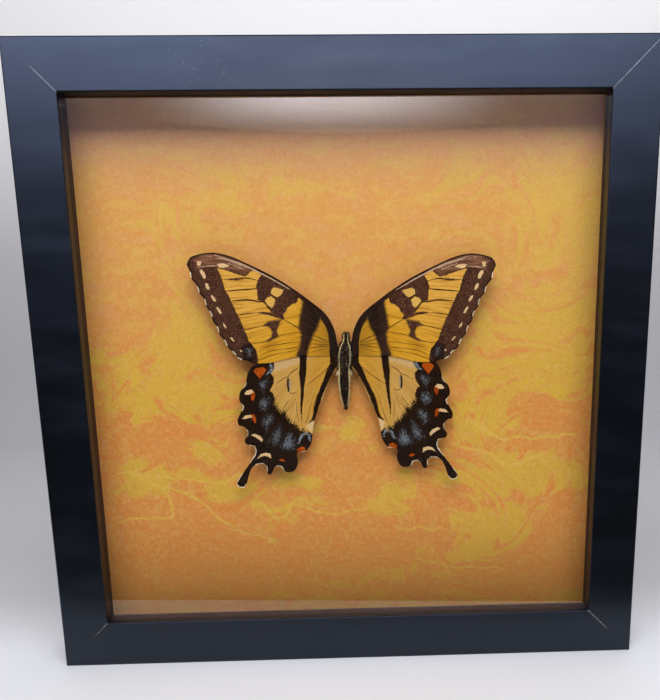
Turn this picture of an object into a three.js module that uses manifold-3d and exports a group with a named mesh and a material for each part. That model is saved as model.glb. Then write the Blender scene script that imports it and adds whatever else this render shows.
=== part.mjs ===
// A framed butterfly: a swallowtail on marbled paper, behind glass in a small black shadow box.
// Millimetres, +Z up, +X to the right and +Y to the back as one looks at the glass.
// The origin is the middle of the box's footprint, on the surface that it stands on.
// Left and right are the viewer's, in front of the glass.
import * as THREE from "three";
import { mergeVertices } from "three/addons/utils/BufferGeometryUtils.js";
import { TessellateModifier } from "three/addons/modifiers/TessellateModifier.js";
import Module from "manifold-3d";

const wasm = await Module();
wasm.setup();

// ---- The frame ----
const OUTER_WIDTH = 241;
const OUTER_HEIGHT = 243.5;
const FACE_WIDTH = 18.8; // of a rail, from the front
const RAIL_DEPTH = 28;
const LIP_THICKNESS = 4; // the part of a rail that runs in front of the glass
const REBATE_WIDTH = 6; // how far the lip covers the glass
const OUTER_ROUND = 0.8; // radius of the front outer edge
const LIP_ROUND = 0.5; // radius of the front inner edge

// ---- What lies in the frame, from the glass to the back ----
const FIT_CLEARANCE = 0.4; // each side, between the sheets and the rebate
const GLASS_THICKNESS = 2;
const AIR_GAP = 8.5; // glass to paper, kept by the spacers
const SPACER_THICKNESS = 3;
const PAPER_THICKNESS = 0.3;
const MOUNT_BOARD_THICKNESS = 3;
const BACK_BOARD_THICKNESS = 3;

// ---- What is fixed to the back ----
const POINTS_PER_RAIL = 2; // flat steel points that hold the back board in
const POINT_WIDTH = 6;
const POINT_LENGTH = 11;
const POINT_TIP = 4; // how much of the length the taper takes
const POINT_THICKNESS = 0.5;
const HANGER_LENGTH = 44;
const HANGER_HEIGHT = 8;
const HANGER_THICKNESS = 0.8;
const HANGER_TEETH = 12;
const TOOTH_DEPTH = 1.6;
const TOOTHED_LENGTH = 26;
const NAIL_HEAD_RADIUS = 2;
const NAIL_HEAD_THICKNESS = 0.7;
const NAIL_SPACING = 36;

// ---- The butterfly, whose heights are above the paper ----
const BODY_AXIS_HEIGHT = 3.05;
const BODY_DEPTH_RATIO = 1.05; // of the body's depth to its width
const BODY_SIDES = 20;
const EYE_RADIUS = 1.15;
const EYE_SPREAD = 1.35; // from the body's middle line
const EYE_LEVEL = 13.4; // above the frame's centre
const WING_THICKNESS = 0.4;
const HINDWING_HEIGHT = 3.6; // of the underside where the wing leaves the body
const FOREWING_HEIGHT = 4.3;
const WING_RISE = 1.6; // how much higher a wing lies at its full reach
const WING_REACH = 61;
const WING_FACET = 7; // longest edge of a wing's facets
const SCALLOPS = 8; // along a forewing's outer margin
const SCALLOP_DEPTH = 0.55;

// How each wing is set: its side, its turn about the root in degrees towards the head, its size.
const WING_ROOT = [2.9, 5]; // from the frame's centre
const SETTING = {
  forewing_left: { side: -1, turn: 0, size: 1 },
  forewing_right: { side: 1, turn: -1.3, size: 0.988 },
  hindwing_left: { side: -1, turn: 0, size: 1 },
  hindwing_right: { side: 1, turn: 1.2, size: 0.985 },
};

const OVERALL_DEPTH = RAIL_DEPTH + HANGER_THICKNESS + NAIL_HEAD_THICKNESS;
const FRONT = -OVERALL_DEPTH / 2;
const CENTRE_HEIGHT = OUTER_HEIGHT / 2;
const GLASS_FRONT = FRONT + LIP_THICKNESS;
const SPACER_FRONT = GLASS_FRONT + GLASS_THICKNESS;
const PAPER_FRONT = SPACER_FRONT + AIR_GAP;
const MOUNT_BOARD_FRONT = PAPER_FRONT + PAPER_THICKNESS;
const BACK_BOARD_FRONT = MOUNT_BOARD_FRONT + MOUNT_BOARD_THICKNESS;
const BACK_BOARD_BACK = BACK_BOARD_FRONT + BACK_BOARD_THICKNESS;
const RAIL_BACK = FRONT + RAIL_DEPTH;
const REBATE_INSET = FACE_WIDTH - REBATE_WIDTH; // outer edge of the frame to the rebate's wall
const SHEET_WIDTH = OUTER_WIDTH - 2 * (REBATE_INSET + FIT_CLEARANCE);
const SHEET_HEIGHT = OUTER_HEIGHT - 2 * (REBATE_INSET + FIT_CLEARANCE);

const FINISHES = {
  black_rail: new THREE.MeshStandardMaterial({ color: 0x14161b, roughness: 0.42, metalness: 0 }),
  glass: new THREE.MeshStandardMaterial({
    color: 0xeef3f2, roughness: 0.03, metalness: 0, transparent: true, opacity: 0.3,
  }),
  spacer: new THREE.MeshStandardMaterial({ color: 0x2a1c16, roughness: 0.85, metalness: 0 }),
  paper: new THREE.MeshStandardMaterial({ color: 0xcf9a52, roughness: 0.8, metalness: 0 }),
  mount_board: new THREE.MeshStandardMaterial({ color: 0xe8e4da, roughness: 0.9, metalness: 0 }),
  back_board: new THREE.MeshStandardMaterial({ color: 0x8a6a48, roughness: 0.8, metalness: 0 }),
  steel: new THREE.MeshStandardMaterial({ color: 0xb9bcc0, roughness: 0.35, metalness: 1 }),
  body: new THREE.MeshStandardMaterial({ color: 0x1c1614, roughness: 0.9, metalness: 0 }),
  forewing: new THREE.MeshStandardMaterial({ color: 0xd9a23e, roughness: 0.8, metalness: 0 }),
  hindwing: new THREE.MeshStandardMaterial({ color: 0x3a2a24, roughness: 0.8, metalness: 0 }),
};

const group = new THREE.Group();
group.name = "framed_butterfly";

function place(name, geometry, finish) {
  const mesh = new THREE.Mesh(geometry, FINISHES[finish]);
  mesh.name = name;
  group.add(mesh);
  return mesh;
}

// A flat upright sheet or strip, centred on x and z, with its front face at y.
function slab(width, height, thickness, x, y, z) {
  return new THREE.BoxGeometry(width, thickness, height).translate(x, y + thickness / 2, z);
}

// ---- Frame rails ----

// Section of a rail: x runs in from the frame's outer edge, y runs back from its face.
function railSection() {
  const s = new THREE.Shape();
  s.moveTo(0, RAIL_DEPTH);
  s.lineTo(0, OUTER_ROUND);
  s.absarc(OUTER_ROUND, OUTER_ROUND, OUTER_ROUND, Math.PI, 1.5 * Math.PI, false);
  s.lineTo(FACE_WIDTH - LIP_ROUND, 0);
  s.absarc(FACE_WIDTH - LIP_ROUND, LIP_ROUND, LIP_ROUND, 1.5 * Math.PI, 2 * Math.PI, false);
  s.lineTo(FACE_WIDTH, LIP_THICKNESS);
  s.lineTo(REBATE_INSET, LIP_THICKNESS);
  s.lineTo(REBATE_INSET, RAIL_DEPTH);
  s.closePath();
  return s;
}

// A rail with mitred ends, made as the top one and then turned about the frame's centre.
function rail(halfLength, offset, turn) {
  const unit = { depth: 1, bevelEnabled: false, curveSegments: 4 };
  const g = new THREE.ExtrudeGeometry(railSection(), unit);
  const p = g.getAttribute("position");
  for (let i = 0; i < p.count; i++) {
    const inset = p.getX(i);
    const end = p.getZ(i) > 0.5 ? 1 : -1;
    p.setXYZ(i, end * (halfLength - inset), FRONT + p.getY(i), offset - inset);
  }
  return g.rotateY(turn).translate(0, 0, CENTRE_HEIGHT);
}

function addFrame() {
  const w = OUTER_WIDTH / 2;
  const h = OUTER_HEIGHT / 2;
  place("frame_rail_top", rail(w, h, 0), "black_rail");
  place("frame_rail_right", rail(h, w, Math.PI / 2), "black_rail");
  place("frame_rail_bottom", rail(w, h, Math.PI), "black_rail");
  place("frame_rail_left", rail(h, w, -Math.PI / 2), "black_rail");
}

// ---- Glass, spacers, paper and boards ----

function addSheets() {
  const sheet = (thickness, y) => slab(SHEET_WIDTH, SHEET_HEIGHT, thickness, 0, y, CENTRE_HEIGHT);
  place("glass", sheet(GLASS_THICKNESS, GLASS_FRONT), "glass");
  place("marbled_paper", sheet(PAPER_THICKNESS, PAPER_FRONT), "paper");
  place("mount_board", sheet(MOUNT_BOARD_THICKNESS, MOUNT_BOARD_FRONT), "mount_board");
  place("back_board", sheet(BACK_BOARD_THICKNESS, BACK_BOARD_FRONT), "back_board");
}

function addSpacers() {
  const x = (SHEET_WIDTH - SPACER_THICKNESS) / 2;
  const z = (SHEET_HEIGHT - SPACER_THICKNESS) / 2;
  const sideHeight = SHEET_HEIGHT - 2 * SPACER_THICKNESS;
  const strip = (width, height, dx, dz) =>
    slab(width, height, AIR_GAP, dx, SPACER_FRONT, CENTRE_HEIGHT + dz);
  place("spacer_top", strip(SHEET_WIDTH, SPACER_THICKNESS, 0, z), "spacer");
  place("spacer_bottom", strip(SHEET_WIDTH, SPACER_THICKNESS, 0, -z), "spacer");
  place("spacer_left", strip(SPACER_THICKNESS, sideHeight, -x, 0), "spacer");
  place("spacer_right", strip(SPACER_THICKNESS, sideHeight, x, 0), "spacer");
}

// ---- Points and hanger on the back ----

// A flat point that lies on the back board and runs in from the top rail, x along the rail.
function backPoint(x, offset, turn) {
  const s = new THREE.Shape();
  s.moveTo(-POINT_WIDTH / 2, 0);
  s.lineTo(-POINT_WIDTH / 2, POINT_TIP - POINT_LENGTH);
  s.lineTo(-POINT_WIDTH / 8, -POINT_LENGTH);
  s.lineTo(POINT_WIDTH / 8, -POINT_LENGTH);
  s.lineTo(POINT_WIDTH / 2, POINT_TIP - POINT_LENGTH);
  s.lineTo(POINT_WIDTH / 2, 0);
  s.closePath();
  const g = new THREE.ExtrudeGeometry(s, { depth: POINT_THICKNESS, bevelEnabled: false });
  g.rotateX(Math.PI / 2).translate(x, BACK_BOARD_BACK + POINT_THICKNESS, offset - REBATE_INSET);
  return g.rotateY(turn).translate(0, 0, CENTRE_HEIGHT);
}

function addBackPoints() {
  const rails = {
    top: [OUTER_HEIGHT / 2, 0],
    right: [OUTER_WIDTH / 2, Math.PI / 2],
    bottom: [OUTER_HEIGHT / 2, Math.PI],
    left: [OUTER_WIDTH / 2, -Math.PI / 2],
  };
  const spacing = SHEET_WIDTH / POINTS_PER_RAIL;
  for (const [side, [offset, turn]] of Object.entries(rails)) {
    for (let i = 0; i < POINTS_PER_RAIL; i++) {
      const x = (i - (POINTS_PER_RAIL - 1) / 2) * spacing;
      place(`back_point_${side}_${i + 1}`, backPoint(x, offset, turn), "steel");
    }
  }
}

// A steel strip nailed flat to the top rail's back, with teeth along its lower edge.
function addHanger() {
  const middle = OUTER_HEIGHT - REBATE_INSET / 2;
  const top = HANGER_HEIGHT / 2;
  const s = new THREE.Shape();
  s.moveTo(-HANGER_LENGTH / 2, top);
  s.lineTo(-HANGER_LENGTH / 2, -top);
  const pitch = TOOTHED_LENGTH / HANGER_TEETH;
  for (let i = 0; i < HANGER_TEETH; i++) {
    const x = -TOOTHED_LENGTH / 2 + i * pitch;
    s.lineTo(x, -top);
    s.lineTo(x + pitch / 2, -top + TOOTH_DEPTH);
  }
  s.lineTo(TOOTHED_LENGTH / 2, -top);
  s.lineTo(HANGER_LENGTH / 2, -top);
  s.lineTo(HANGER_LENGTH / 2, top);
  s.closePath();
  const plate = new THREE.ExtrudeGeometry(s, { depth: HANGER_THICKNESS, bevelEnabled: false });
  plate.rotateX(Math.PI / 2).translate(0, RAIL_BACK + HANGER_THICKNESS, middle);
  place("hanger", plate, "steel");

  const domed = [
    new THREE.Vector2(0, 0),
    new THREE.Vector2(NAIL_HEAD_RADIUS, 0),
    new THREE.Vector2(NAIL_HEAD_RADIUS * 0.8, NAIL_HEAD_THICKNESS * 0.7),
    new THREE.Vector2(0, NAIL_HEAD_THICKNESS),
  ];
  for (const [side, x] of [["left", -NAIL_SPACING / 2], ["right", NAIL_SPACING / 2]]) {
    const head = new THREE.LatheGeometry(domed, 16);
    head.translate(x, RAIL_BACK + HANGER_THICKNESS, middle + TOOTH_DEPTH / 2);
    place(`hanger_nail_${side}`, head, "steel");
  }
}

// ---- Butterfly ----
// Its outlines are drawn from the frame's centre: x outwards from the middle line, y up.

// The body isn't quite straight: its middle line bows to the right at the head.
const bodyMiddle = (level) => -0.2 + 0.028 * level + 0.0032 * level * level;

// Half-widths of the body from the tip of the abdomen to the front of the head.
const BODY_PROFILE = [
  [0, -16.3], [0.75, -15.7], [1.3, -14], [2.1, -11], [2.6, -8], [2.85, -5], [2.7, -2.5],
  [2.2, -0.4], [1.95, 1], [2.3, 2.4], [2.7, 4.6], [2.7, 7.8], [2.3, 10], [1.65, 11.4],
  [1.75, 12.6], [1.8, 13.8], [1.3, 14.9], [0, 15.4],
];

function solidOf(geometry) {
  for (const name of ["normal", "uv"]) geometry.deleteAttribute(name);
  const g = mergeVertices(geometry, 1e-4);
  return new wasm.Manifold(
    new wasm.Mesh({
      numProp: 3,
      vertProperties: g.getAttribute("position").array,
      triVerts: new Uint32Array(g.index.array),
    }),
  );
}

function geometryOf(solid) {
  const m = solid.getMesh();
  const g = new THREE.BufferGeometry();
  g.setAttribute("position", new THREE.BufferAttribute(new Float32Array(m.vertProperties), 3));
  g.setIndex(new THREE.BufferAttribute(new Uint32Array(m.triVerts), 1));
  g.computeVertexNormals();
  return g;
}

// Head, thorax and abdomen are one turned form with an eye on each side of the head.
function bodySolid() {
  const profile = BODY_PROFILE.map(([r, level]) => new THREE.Vector2(r, level));
  const trunk = new THREE.LatheGeometry(profile, BODY_SIDES).rotateX(Math.PI / 2);
  const p = trunk.getAttribute("position");
  for (let i = 0; i < p.count; i++) {
    p.setXYZ(i, p.getX(i) + bodyMiddle(p.getZ(i)), p.getY(i) * BODY_DEPTH_RATIO, p.getZ(i));
  }
  let body = solidOf(trunk);
  for (const side of [-1, 1]) {
    const eye = new THREE.SphereGeometry(EYE_RADIUS, 14, 10);
    eye.translate(side * EYE_SPREAD + bodyMiddle(EYE_LEVEL), 0, EYE_LEVEL);
    body = body.add(solidOf(eye));
  }
  return geometryOf(body).translate(0, PAPER_FRONT - BODY_AXIS_HEIGHT, CENTRE_HEIGHT);
}

const FOREWING_COSTA = [
  [2.7, 10.4], [3.6, 16], [5.3, 20.1], [7.4, 23.2], [10.6, 26.1], [18.8, 32.3], [27, 37.6],
  [35.2, 41.8], [43.3, 45.5], [49.5, 47.1], [54.5, 46.9], [58.6, 45.8], [60.4, 44.5], [60.9, 43],
];
const FOREWING_MARGIN = [
  [60.9, 43], [60.4, 39.5], [58.4, 35], [55.9, 30], [53.8, 25.2], [51.8, 19.9], [49.6, 15],
  [46.8, 10.2], [44.2, 7], [41, 4.8], [37, 3.6],
];
const FOREWING_HIND_EDGE = [[37, 3.6], [29.7, 3.9], [24, 5.1], [18.5, 6.1], [11, 6.1], [2.7, 6.4]];

const HINDWING_FRONT_EDGE = [
  [2.9, 1.6], [2.9, 5.2], [8, 7.2], [15, 8], [23, 7.9], [30, 6.6], [35.2, 3.7],
];
const HINDWING_LOBES = [
  [38.2, 1.8], [39.7, -1], [40.4, -4.2], [41.2, -5.9], [42.8, -7.5], [43.5, -10.2], [43, -12.3],
  [42.1, -13.5], [42.3, -15], [43.7, -17.4], [44.6, -19.7], [44, -21.7], [42, -22.3],
  [40.8, -24], [40.8, -26], [41.9, -27.6], [41.8, -29.2], [40.4, -30], [38.5, -30.4],
];
const HINDWING_TAIL = [
  [37.8, -32], [38.1, -33.8], [39.9, -36.8], [42.4, -40.5], [44.9, -44.2], [45.9, -46.5],
  [45.3, -47.8], [43.8, -47.7], [42.4, -46], [41.4, -43.3], [39.9, -40.1], [37.6, -38.3],
];
const HINDWING_HIND_LOBES = [
  [35.2, -38], [33.6, -39.1], [33.5, -41.4], [32.8, -42.8], [31.5, -42.3], [30.7, -40.4],
  [29.4, -39.3], [27.4, -39.6], [26.4, -41.2], [25, -41.9], [23, -41.8], [21.3, -40.4],
  [20.5, -37.6], [20.8, -35], [20.2, -33.6], [17.3, -33.3], [15.7, -31.6],
];
const HINDWING_INNER_EDGE = [
  [14.5, -29.3], [14, -26.5], [13.8, -24], [12.7, -19.4], [11.1, -15.2], [9.4, -11.2],
  [7.7, -6.9], [5.6, -2.3],
];

const points = (list) => list.map(([x, y]) => new THREE.Vector2(x, y));

// A scalloped margin: a smooth curve with shallow hollows of even length bitten out of it.
function scalloped(list, count, depth) {
  const curve = new THREE.SplineCurve(points(list));
  const steps = count * 6;
  const out = [];
  for (let i = 0; i <= steps; i++) {
    const t = i / steps;
    const bite = depth * Math.sin(Math.PI * count * t) ** 2;
    const along = curve.getTangentAt(t);
    const at = curve.getPointAt(t);
    out.push(new THREE.Vector2(at.x + along.y * bite, at.y - along.x * bite));
  }
  return out;
}

function forewingOutline() {
  const costa = new THREE.SplineCurve(points(FOREWING_COSTA)).getSpacedPoints(26);
  const margin = scalloped(FOREWING_MARGIN, SCALLOPS, SCALLOP_DEPTH);
  const hindEdge = new THREE.SplineCurve(points(FOREWING_HIND_EDGE)).getSpacedPoints(10);
  return [...costa, ...margin.slice(1), ...hindEdge.slice(1)];
}

function hindwingOutline() {
  const knots = [
    ...HINDWING_FRONT_EDGE.slice(1), ...HINDWING_LOBES, ...HINDWING_TAIL,
    ...HINDWING_HIND_LOBES, ...HINDWING_INNER_EDGE, HINDWING_FRONT_EDGE[0],
  ];
  return new THREE.SplineCurve(points(knots)).getPoints(2 * (knots.length - 1));
}

// How far a wing has risen at a distance from the middle line.
const wingRise = (x) => WING_RISE * (Math.abs(x) / WING_REACH) ** 1.5;

// A thin wing of that outline whose underside leaves the body at that height above the paper.
function addWing(name, outline, height, finish) {
  const { side, turn, size } = SETTING[name];
  const root = new THREE.Vector2(...WING_ROOT);
  const set = (v) => {
    const out = v.clone().sub(root).multiplyScalar(size).add(root);
    out.rotateAround(root, THREE.MathUtils.degToRad(turn));
    return new THREE.Vector2(side * out.x, out.y);
  };
  const shape = new THREE.Shape(outline.map(set));
  const flat = new THREE.ExtrudeGeometry(shape, { depth: WING_THICKNESS, bevelEnabled: false });
  const g = new TessellateModifier(WING_FACET, 8).modify(flat).rotateX(Math.PI / 2);
  const p = g.getAttribute("position");
  for (let i = 0; i < p.count; i++) {
    p.setY(i, p.getY(i) - wingRise(p.getX(i)));
  }
  g.translate(0, PAPER_FRONT - height, CENTRE_HEIGHT);
  g.computeVertexNormals();
  place(name, g, finish);
}

function addButterfly() {
  place("butterfly_body", bodySolid(), "body");
  const fore = forewingOutline();
  const hind = hindwingOutline();
  for (const side of ["left", "right"]) {
    addWing(`forewing_${side}`, fore, FOREWING_HEIGHT, "forewing");
    addWing(`hindwing_${side}`, hind, HINDWING_HEIGHT, "hindwing");
  }
}

addFrame();
addSheets();
addSpacers();
addBackPoints();
addHanger();
addButterfly();

export default group;
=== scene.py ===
"""The looks of a framed butterfly: a swallowtail on marbled paper, in a small black shadow box.

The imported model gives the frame, the glass, the boards and the fastenings. The butterfly and its
paper are made here, finer than the solids that they stand for and in the same places.
Lengths are millimetres until a mesh is made. A drawn wing has x outwards and y up, from the
frame's centre, and both sides of the butterfly are made from the same drawing.
"""

import math

import bpy
import numpy as np
from mathutils import Matrix, Vector
from mathutils.geometry import delaunay_2d_cdt


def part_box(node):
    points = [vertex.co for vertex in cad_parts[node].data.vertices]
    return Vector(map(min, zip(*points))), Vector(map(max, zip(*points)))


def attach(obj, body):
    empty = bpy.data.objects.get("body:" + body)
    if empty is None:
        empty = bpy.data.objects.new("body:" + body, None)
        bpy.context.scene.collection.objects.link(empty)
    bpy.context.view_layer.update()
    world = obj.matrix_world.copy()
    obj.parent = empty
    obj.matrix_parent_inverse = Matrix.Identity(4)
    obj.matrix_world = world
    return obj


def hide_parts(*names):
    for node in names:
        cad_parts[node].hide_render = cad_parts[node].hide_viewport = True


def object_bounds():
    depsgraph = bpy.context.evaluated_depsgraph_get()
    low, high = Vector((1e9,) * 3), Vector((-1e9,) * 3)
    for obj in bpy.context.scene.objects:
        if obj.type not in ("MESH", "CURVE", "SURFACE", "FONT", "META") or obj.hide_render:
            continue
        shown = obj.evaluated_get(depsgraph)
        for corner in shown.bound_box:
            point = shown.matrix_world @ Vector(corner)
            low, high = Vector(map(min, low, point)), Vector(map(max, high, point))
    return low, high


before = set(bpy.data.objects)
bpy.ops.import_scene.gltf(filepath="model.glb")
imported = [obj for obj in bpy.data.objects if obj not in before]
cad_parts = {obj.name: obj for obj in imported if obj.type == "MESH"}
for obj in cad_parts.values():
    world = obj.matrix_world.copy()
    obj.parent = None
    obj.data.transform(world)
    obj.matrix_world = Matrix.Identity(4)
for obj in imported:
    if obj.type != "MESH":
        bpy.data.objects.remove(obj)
cad_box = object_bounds()

MM = 0.001
paper_low, paper_high = (np.array(corner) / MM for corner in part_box("marbled_paper"))
PAPER_FRONT = paper_low[1]
CENTRE = (paper_low[2] + paper_high[2]) / 2
OUTER_HALF_WIDTH = cad_box[1][0] / MM
OUTER_HALF_HEIGHT = CENTRE
FACE_WIDTH = 18.8
FRAME_FRONT = cad_box[0][1] / MM
RAIL_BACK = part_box("frame_rail_top")[1][1] / MM

# The wings' setting, as the CAD has it: side, turn about the root in degrees, size.
WING_ROOT = np.array([2.9, 5.0])
SETTING = {
    "forewing_left": (-1, 0, 1),
    "forewing_right": (1, -1.3, 0.988),
    "hindwing_left": (-1, 0, 1),
    "hindwing_right": (1, 1.2, 0.985),
}
WING_HEIGHT = {"forewing": 4.3, "hindwing": 3.6}  # of the underside above the paper, at the body
WING_RISE = 1.6
WING_REACH = 61.0
SOLID_WING = 0.4  # thickness of the solid that a wing stands for
OVERLAP_DROP = 0.36  # how far the forewing's hind edge drops onto the hindwing
WING_HALF_THICKNESS = 0.06
WING_MESH = 0.32  # spacing of a wing's mesh points
ROW_SPACING = 0.866  # of even triangles, as a share of their side


# ---- Meshes and nodes ----

def piece(name, points, faces, materials, face_materials=None, fields=None, sharp=35):
    """A mesh object from points in mm."""
    mesh = bpy.data.meshes.new(name)
    mesh.from_pydata((np.asarray(points) * MM).tolist(), [], [list(map(int, f)) for f in faces])
    for material in materials:
        mesh.materials.append(material)
    if face_materials is not None:
        mesh.polygons.foreach_set("material_index", np.asarray(face_materials, dtype=np.int32))
    for field, values in (fields or {}).items():
        values = np.asarray(values, dtype=np.float32)
        kind = "FLOAT_VECTOR" if values.ndim == 2 else "FLOAT"
        layer = mesh.attributes.new(field, kind, "POINT")
        layer.data.foreach_set("vector" if values.ndim == 2 else "value", values.ravel())
    mesh.polygons.foreach_set("use_smooth", [True] * len(mesh.polygons))
    mesh.update()
    mesh.set_sharp_from_angle(angle=math.radians(sharp))
    made = bpy.data.objects.new(name, mesh)
    bpy.context.scene.collection.objects.link(made)
    return made


def paint(code):
    """The linear colour of an sRGB hex code."""
    parts = [int(code[i:i + 2], 16) / 255 for i in (1, 3, 5)]
    return (*(c / 12.92 if c <= 0.04045 else ((c + 0.055) / 1.055) ** 2.4 for c in parts), 1.0)


def feed(socket, value):
    """Gives an input a value, or links it to an output. A node stands for its first output."""
    if isinstance(value, bpy.types.Node):
        value = value.outputs[0]
    if isinstance(value, bpy.types.NodeSocket):
        socket.id_data.links.new(value, socket)
    else:
        socket.default_value = value


def node(tree, kind, inputs=(), **settings):
    """Adds a shader node. Its inputs are given in order or by name, and the rest are its settings."""
    made = tree.nodes.new("ShaderNode" + kind)
    for name, value in settings.items():
        setattr(made, name, value)
    for socket, value in inputs.items() if isinstance(inputs, dict) else enumerate(inputs):
        feed(made.inputs[socket], value)
    return made


def finish_named(name):
    """A new material with its node tree, its surface shader and the place on the object in mm."""
    material = bpy.data.materials.new(name)
    material.use_nodes = True
    tree = material.node_tree
    place = node(tree, "TexCoord").outputs["Object"]
    in_mm = node(tree, "VectorMath", {0: place, "Scale": 1 / MM}, operation="SCALE")
    return material, tree, tree.nodes["Principled BSDF"], in_mm


def cloud(tree, place, size, detail=2.0, stretch=(1, 1, 1), distortion=0.0):
    """Noise whose blots are about that many mm across, longer where stretch is more than 1."""
    scale = tuple(1 / (size * s) for s in stretch)
    where = node(tree, "VectorMath", (place, scale), operation="MULTIPLY")
    inputs = {"Vector": where, "Scale": 1.0, "Detail": detail, "Distortion": distortion}
    return node(tree, "TexNoise", inputs)


def eased(tree, *parts):
    """Multiplies its parts. A part of the form (value, low, high) comes in gently from 0 to 1 as the
    value goes from low to high, and two more numbers give it other ends than 0 and 1."""
    product = None
    for part in parts:
        if isinstance(part, tuple):
            part = node(tree, "MapRange", part, interpolation_type="SMOOTHSTEP")
        product = part if product is None else node(tree, "Math", (product, part), operation="MULTIPLY")
    return product


def off_from(tree, value, middle):
    """How far a value is from a middle value, on either side."""
    off = node(tree, "Math", (value, middle), operation="SUBTRACT")
    return node(tree, "Math", (off,), operation="ABSOLUTE")


def swayed(tree, value, noise, reach):
    """The value, moved up and down by a cloud's light and dark."""
    push = node(tree, "Math", (noise, 0.5), operation="SUBTRACT")
    return node(tree, "Math", (push, reach, value), operation="MULTIPLY_ADD")


def coats(tree, ground, *layers):
    """Paints layers over a ground, the last on top. Each is a colour and how much of it shows: an
    amount, or a value, the range over which it comes in, and the most that it reaches."""
    for colour, amount, *coming_in in layers:
        if coming_in:
            low, high, most = (*coming_in, 1.0)[:3]
            amount = eased(tree, (amount, low, high, 0.0, most))
        inks = (paint(ink) if isinstance(ink, str) else ink for ink in (ground, colour))
        ground = node(tree, "MixRGB", (amount, *inks))
    return ground


def raised(tree, shader, height, depth):
    """Gives a surface fine relief of that depth in mm."""
    bump = node(tree, "Bump", {"Height": height, "Distance": depth * MM, "Strength": 1.0})
    feed(shader.inputs["Normal"], bump)


def surface(shader, **values):
    """Feeds the shader's own sockets. An underscore in a name stands for a space."""
    for name, value in values.items():
        feed(shader.inputs[name.replace("_", " ")], value)


def finish_with(tree, shader):
    """Makes this shader the one that the material shows."""
    feed(tree.nodes["Material Output"].inputs["Surface"], shader)


# ---- Drawing in the plane ----

def depth_inside(points, outline):
    """How deep in a closed outline each point lies, negative outside."""
    points = np.asarray(points, float)
    a = np.asarray(outline, float)
    b = np.roll(a, -1, axis=0)
    nearest = np.full(len(points), np.inf)
    inside = np.zeros(len(points), bool)
    x, y = points[:, 0], points[:, 1]
    for (ax, ay), (bx, by) in zip(a, b):
        dx, dy = bx - ax, by - ay
        t = np.clip(((x - ax) * dx + (y - ay) * dy) / max(dx * dx + dy * dy, 1e-12), 0, 1)
        nearest = np.minimum(nearest, (x - ax - t * dx) ** 2 + (y - ay - t * dy) ** 2)
        if ay != by:
            crosses = ((ay > y) != (by > y)) & (x < ax + (y - ay) / (by - ay) * dx)
            inside ^= crosses
    return np.where(inside, 1, -1) * np.sqrt(nearest)


def depth_in_stroke(points, path, half_width, taper=0.4):
    """How deep in a brush stroke each point lies. Its ends taper to that share of its width."""
    points = np.asarray(points, float)
    path = np.asarray(path, float)
    runs = np.concatenate([[0], np.cumsum(np.linalg.norm(np.diff(path, axis=0), axis=1))])
    best = np.full(len(points), -np.inf)
    for (a, b, start, length) in zip(path, path[1:], runs, np.diff(runs)):
        t = np.clip((points - a) @ (b - a) / max(length * length, 1e-12), 0, 1)
        along = (start + t * length) / runs[-1]
        width = half_width * (taper + (1 - taper) * np.sin(np.pi * along) ** 0.5)
        best = np.maximum(best, width - np.linalg.norm(points - a - t[:, None] * (b - a), axis=1))
    return best


def smooth_path(knots, spacing, closed=False):
    """Points at about that spacing on a smooth curve through the knots."""
    knots = np.asarray(knots, float)
    n = len(knots)
    out = []
    for i in range(n if closed else n - 1):
        near = [knots[(i + k) % n] if closed else knots[min(max(i + k, 0), n - 1)] for k in (-1, 0, 1, 2)]
        p0, p1, p2, p3 = near
        steps = max(1, round(np.linalg.norm(p2 - p1) / spacing))
        for t in np.arange(steps) / steps:
            out.append(0.5 * (2 * p1 + (p2 - p0) * t + (2 * p0 - 5 * p1 + 4 * p2 - p3) * t * t
                              + (3 * p1 - p0 - 3 * p2 + p3) * t ** 3))
    if not closed:
        out.append(knots[-1])
    return np.array(out)


def drift(points, size, seed):
    """A smooth random value from -1 to 1 at each point, with swells about that many mm long."""
    rng = np.random.default_rng(seed)
    total = np.zeros(len(points))
    waves = 7
    for _ in range(waves):
        heading = rng.uniform(0, 2 * math.pi)
        turns = rng.uniform(0.6, 1.5) / size
        phase = rng.uniform(0, 2 * math.pi)
        along = points[:, 0] * math.cos(heading) + points[:, 1] * math.sin(heading)
        total += np.sin(2 * math.pi * turns * along + phase)
    return total / waves * 1.6


# ---- Wing patterns ----
# Each mark is (shape, points, softness): how many mm its edge takes to fade, with a stroke's
# half-width after it. Points are on the drawn left wing.

FOREWING_VEINS = [
    [(47.9, 37.1), (44.8, 37.0), (41.0, 37.0), (38.5, 37.4), (35.2, 36.8), (33.5, 36.4)],
    [(46.4, 32.4), (41.3, 32.8), (37.5, 33.0), (34.3, 33.2)],
    [(44.6, 28.5), (41.5, 28.8), (38.1, 28.9), (34.0, 28.2), (31.7, 27.9), (29.5, 25.5), (27.8, 23.3)],
    [(42.2, 22.9), (38.4, 23.5), (35.0, 23.8)],
    [(39.6, 17.2), (36.1, 17.9), (32.3, 18.7)],
    [(24.0, 21.0), (20.9, 19.2), (17.6, 17.2)],
    [(37.9, 11.4), (33.9, 12.0), (30.1, 12.7), (26.6, 14.3), (22.8, 15.3), (18.5, 16.0)],
    [(35.1, 8.3), (30.2, 10.5), (24.6, 11.4), (18.2, 12.0)],
    [(35.0, 6.4), (30.2, 8.4), (23.8, 9.4), (18.7, 9.8)],
    [(13.2, 15.1), (9.3, 13.2), (6.2, 11.9)],
    [(13.6, 11.3), (9.8, 10.9), (6.2, 10.7)],
    [(35.0, 4.6), (29.9, 6.7), (23.9, 7.9), (19.2, 8.5)],
    [(13.9, 13.3), (10.0, 12.1), (6.2, 11.3)],
    [(13.8, 9.4), (10.0, 10.0), (6.2, 10.2)],
    [(14.0, 7.6), (10.0, 8.6), (6.4, 9.6)],
]
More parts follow.
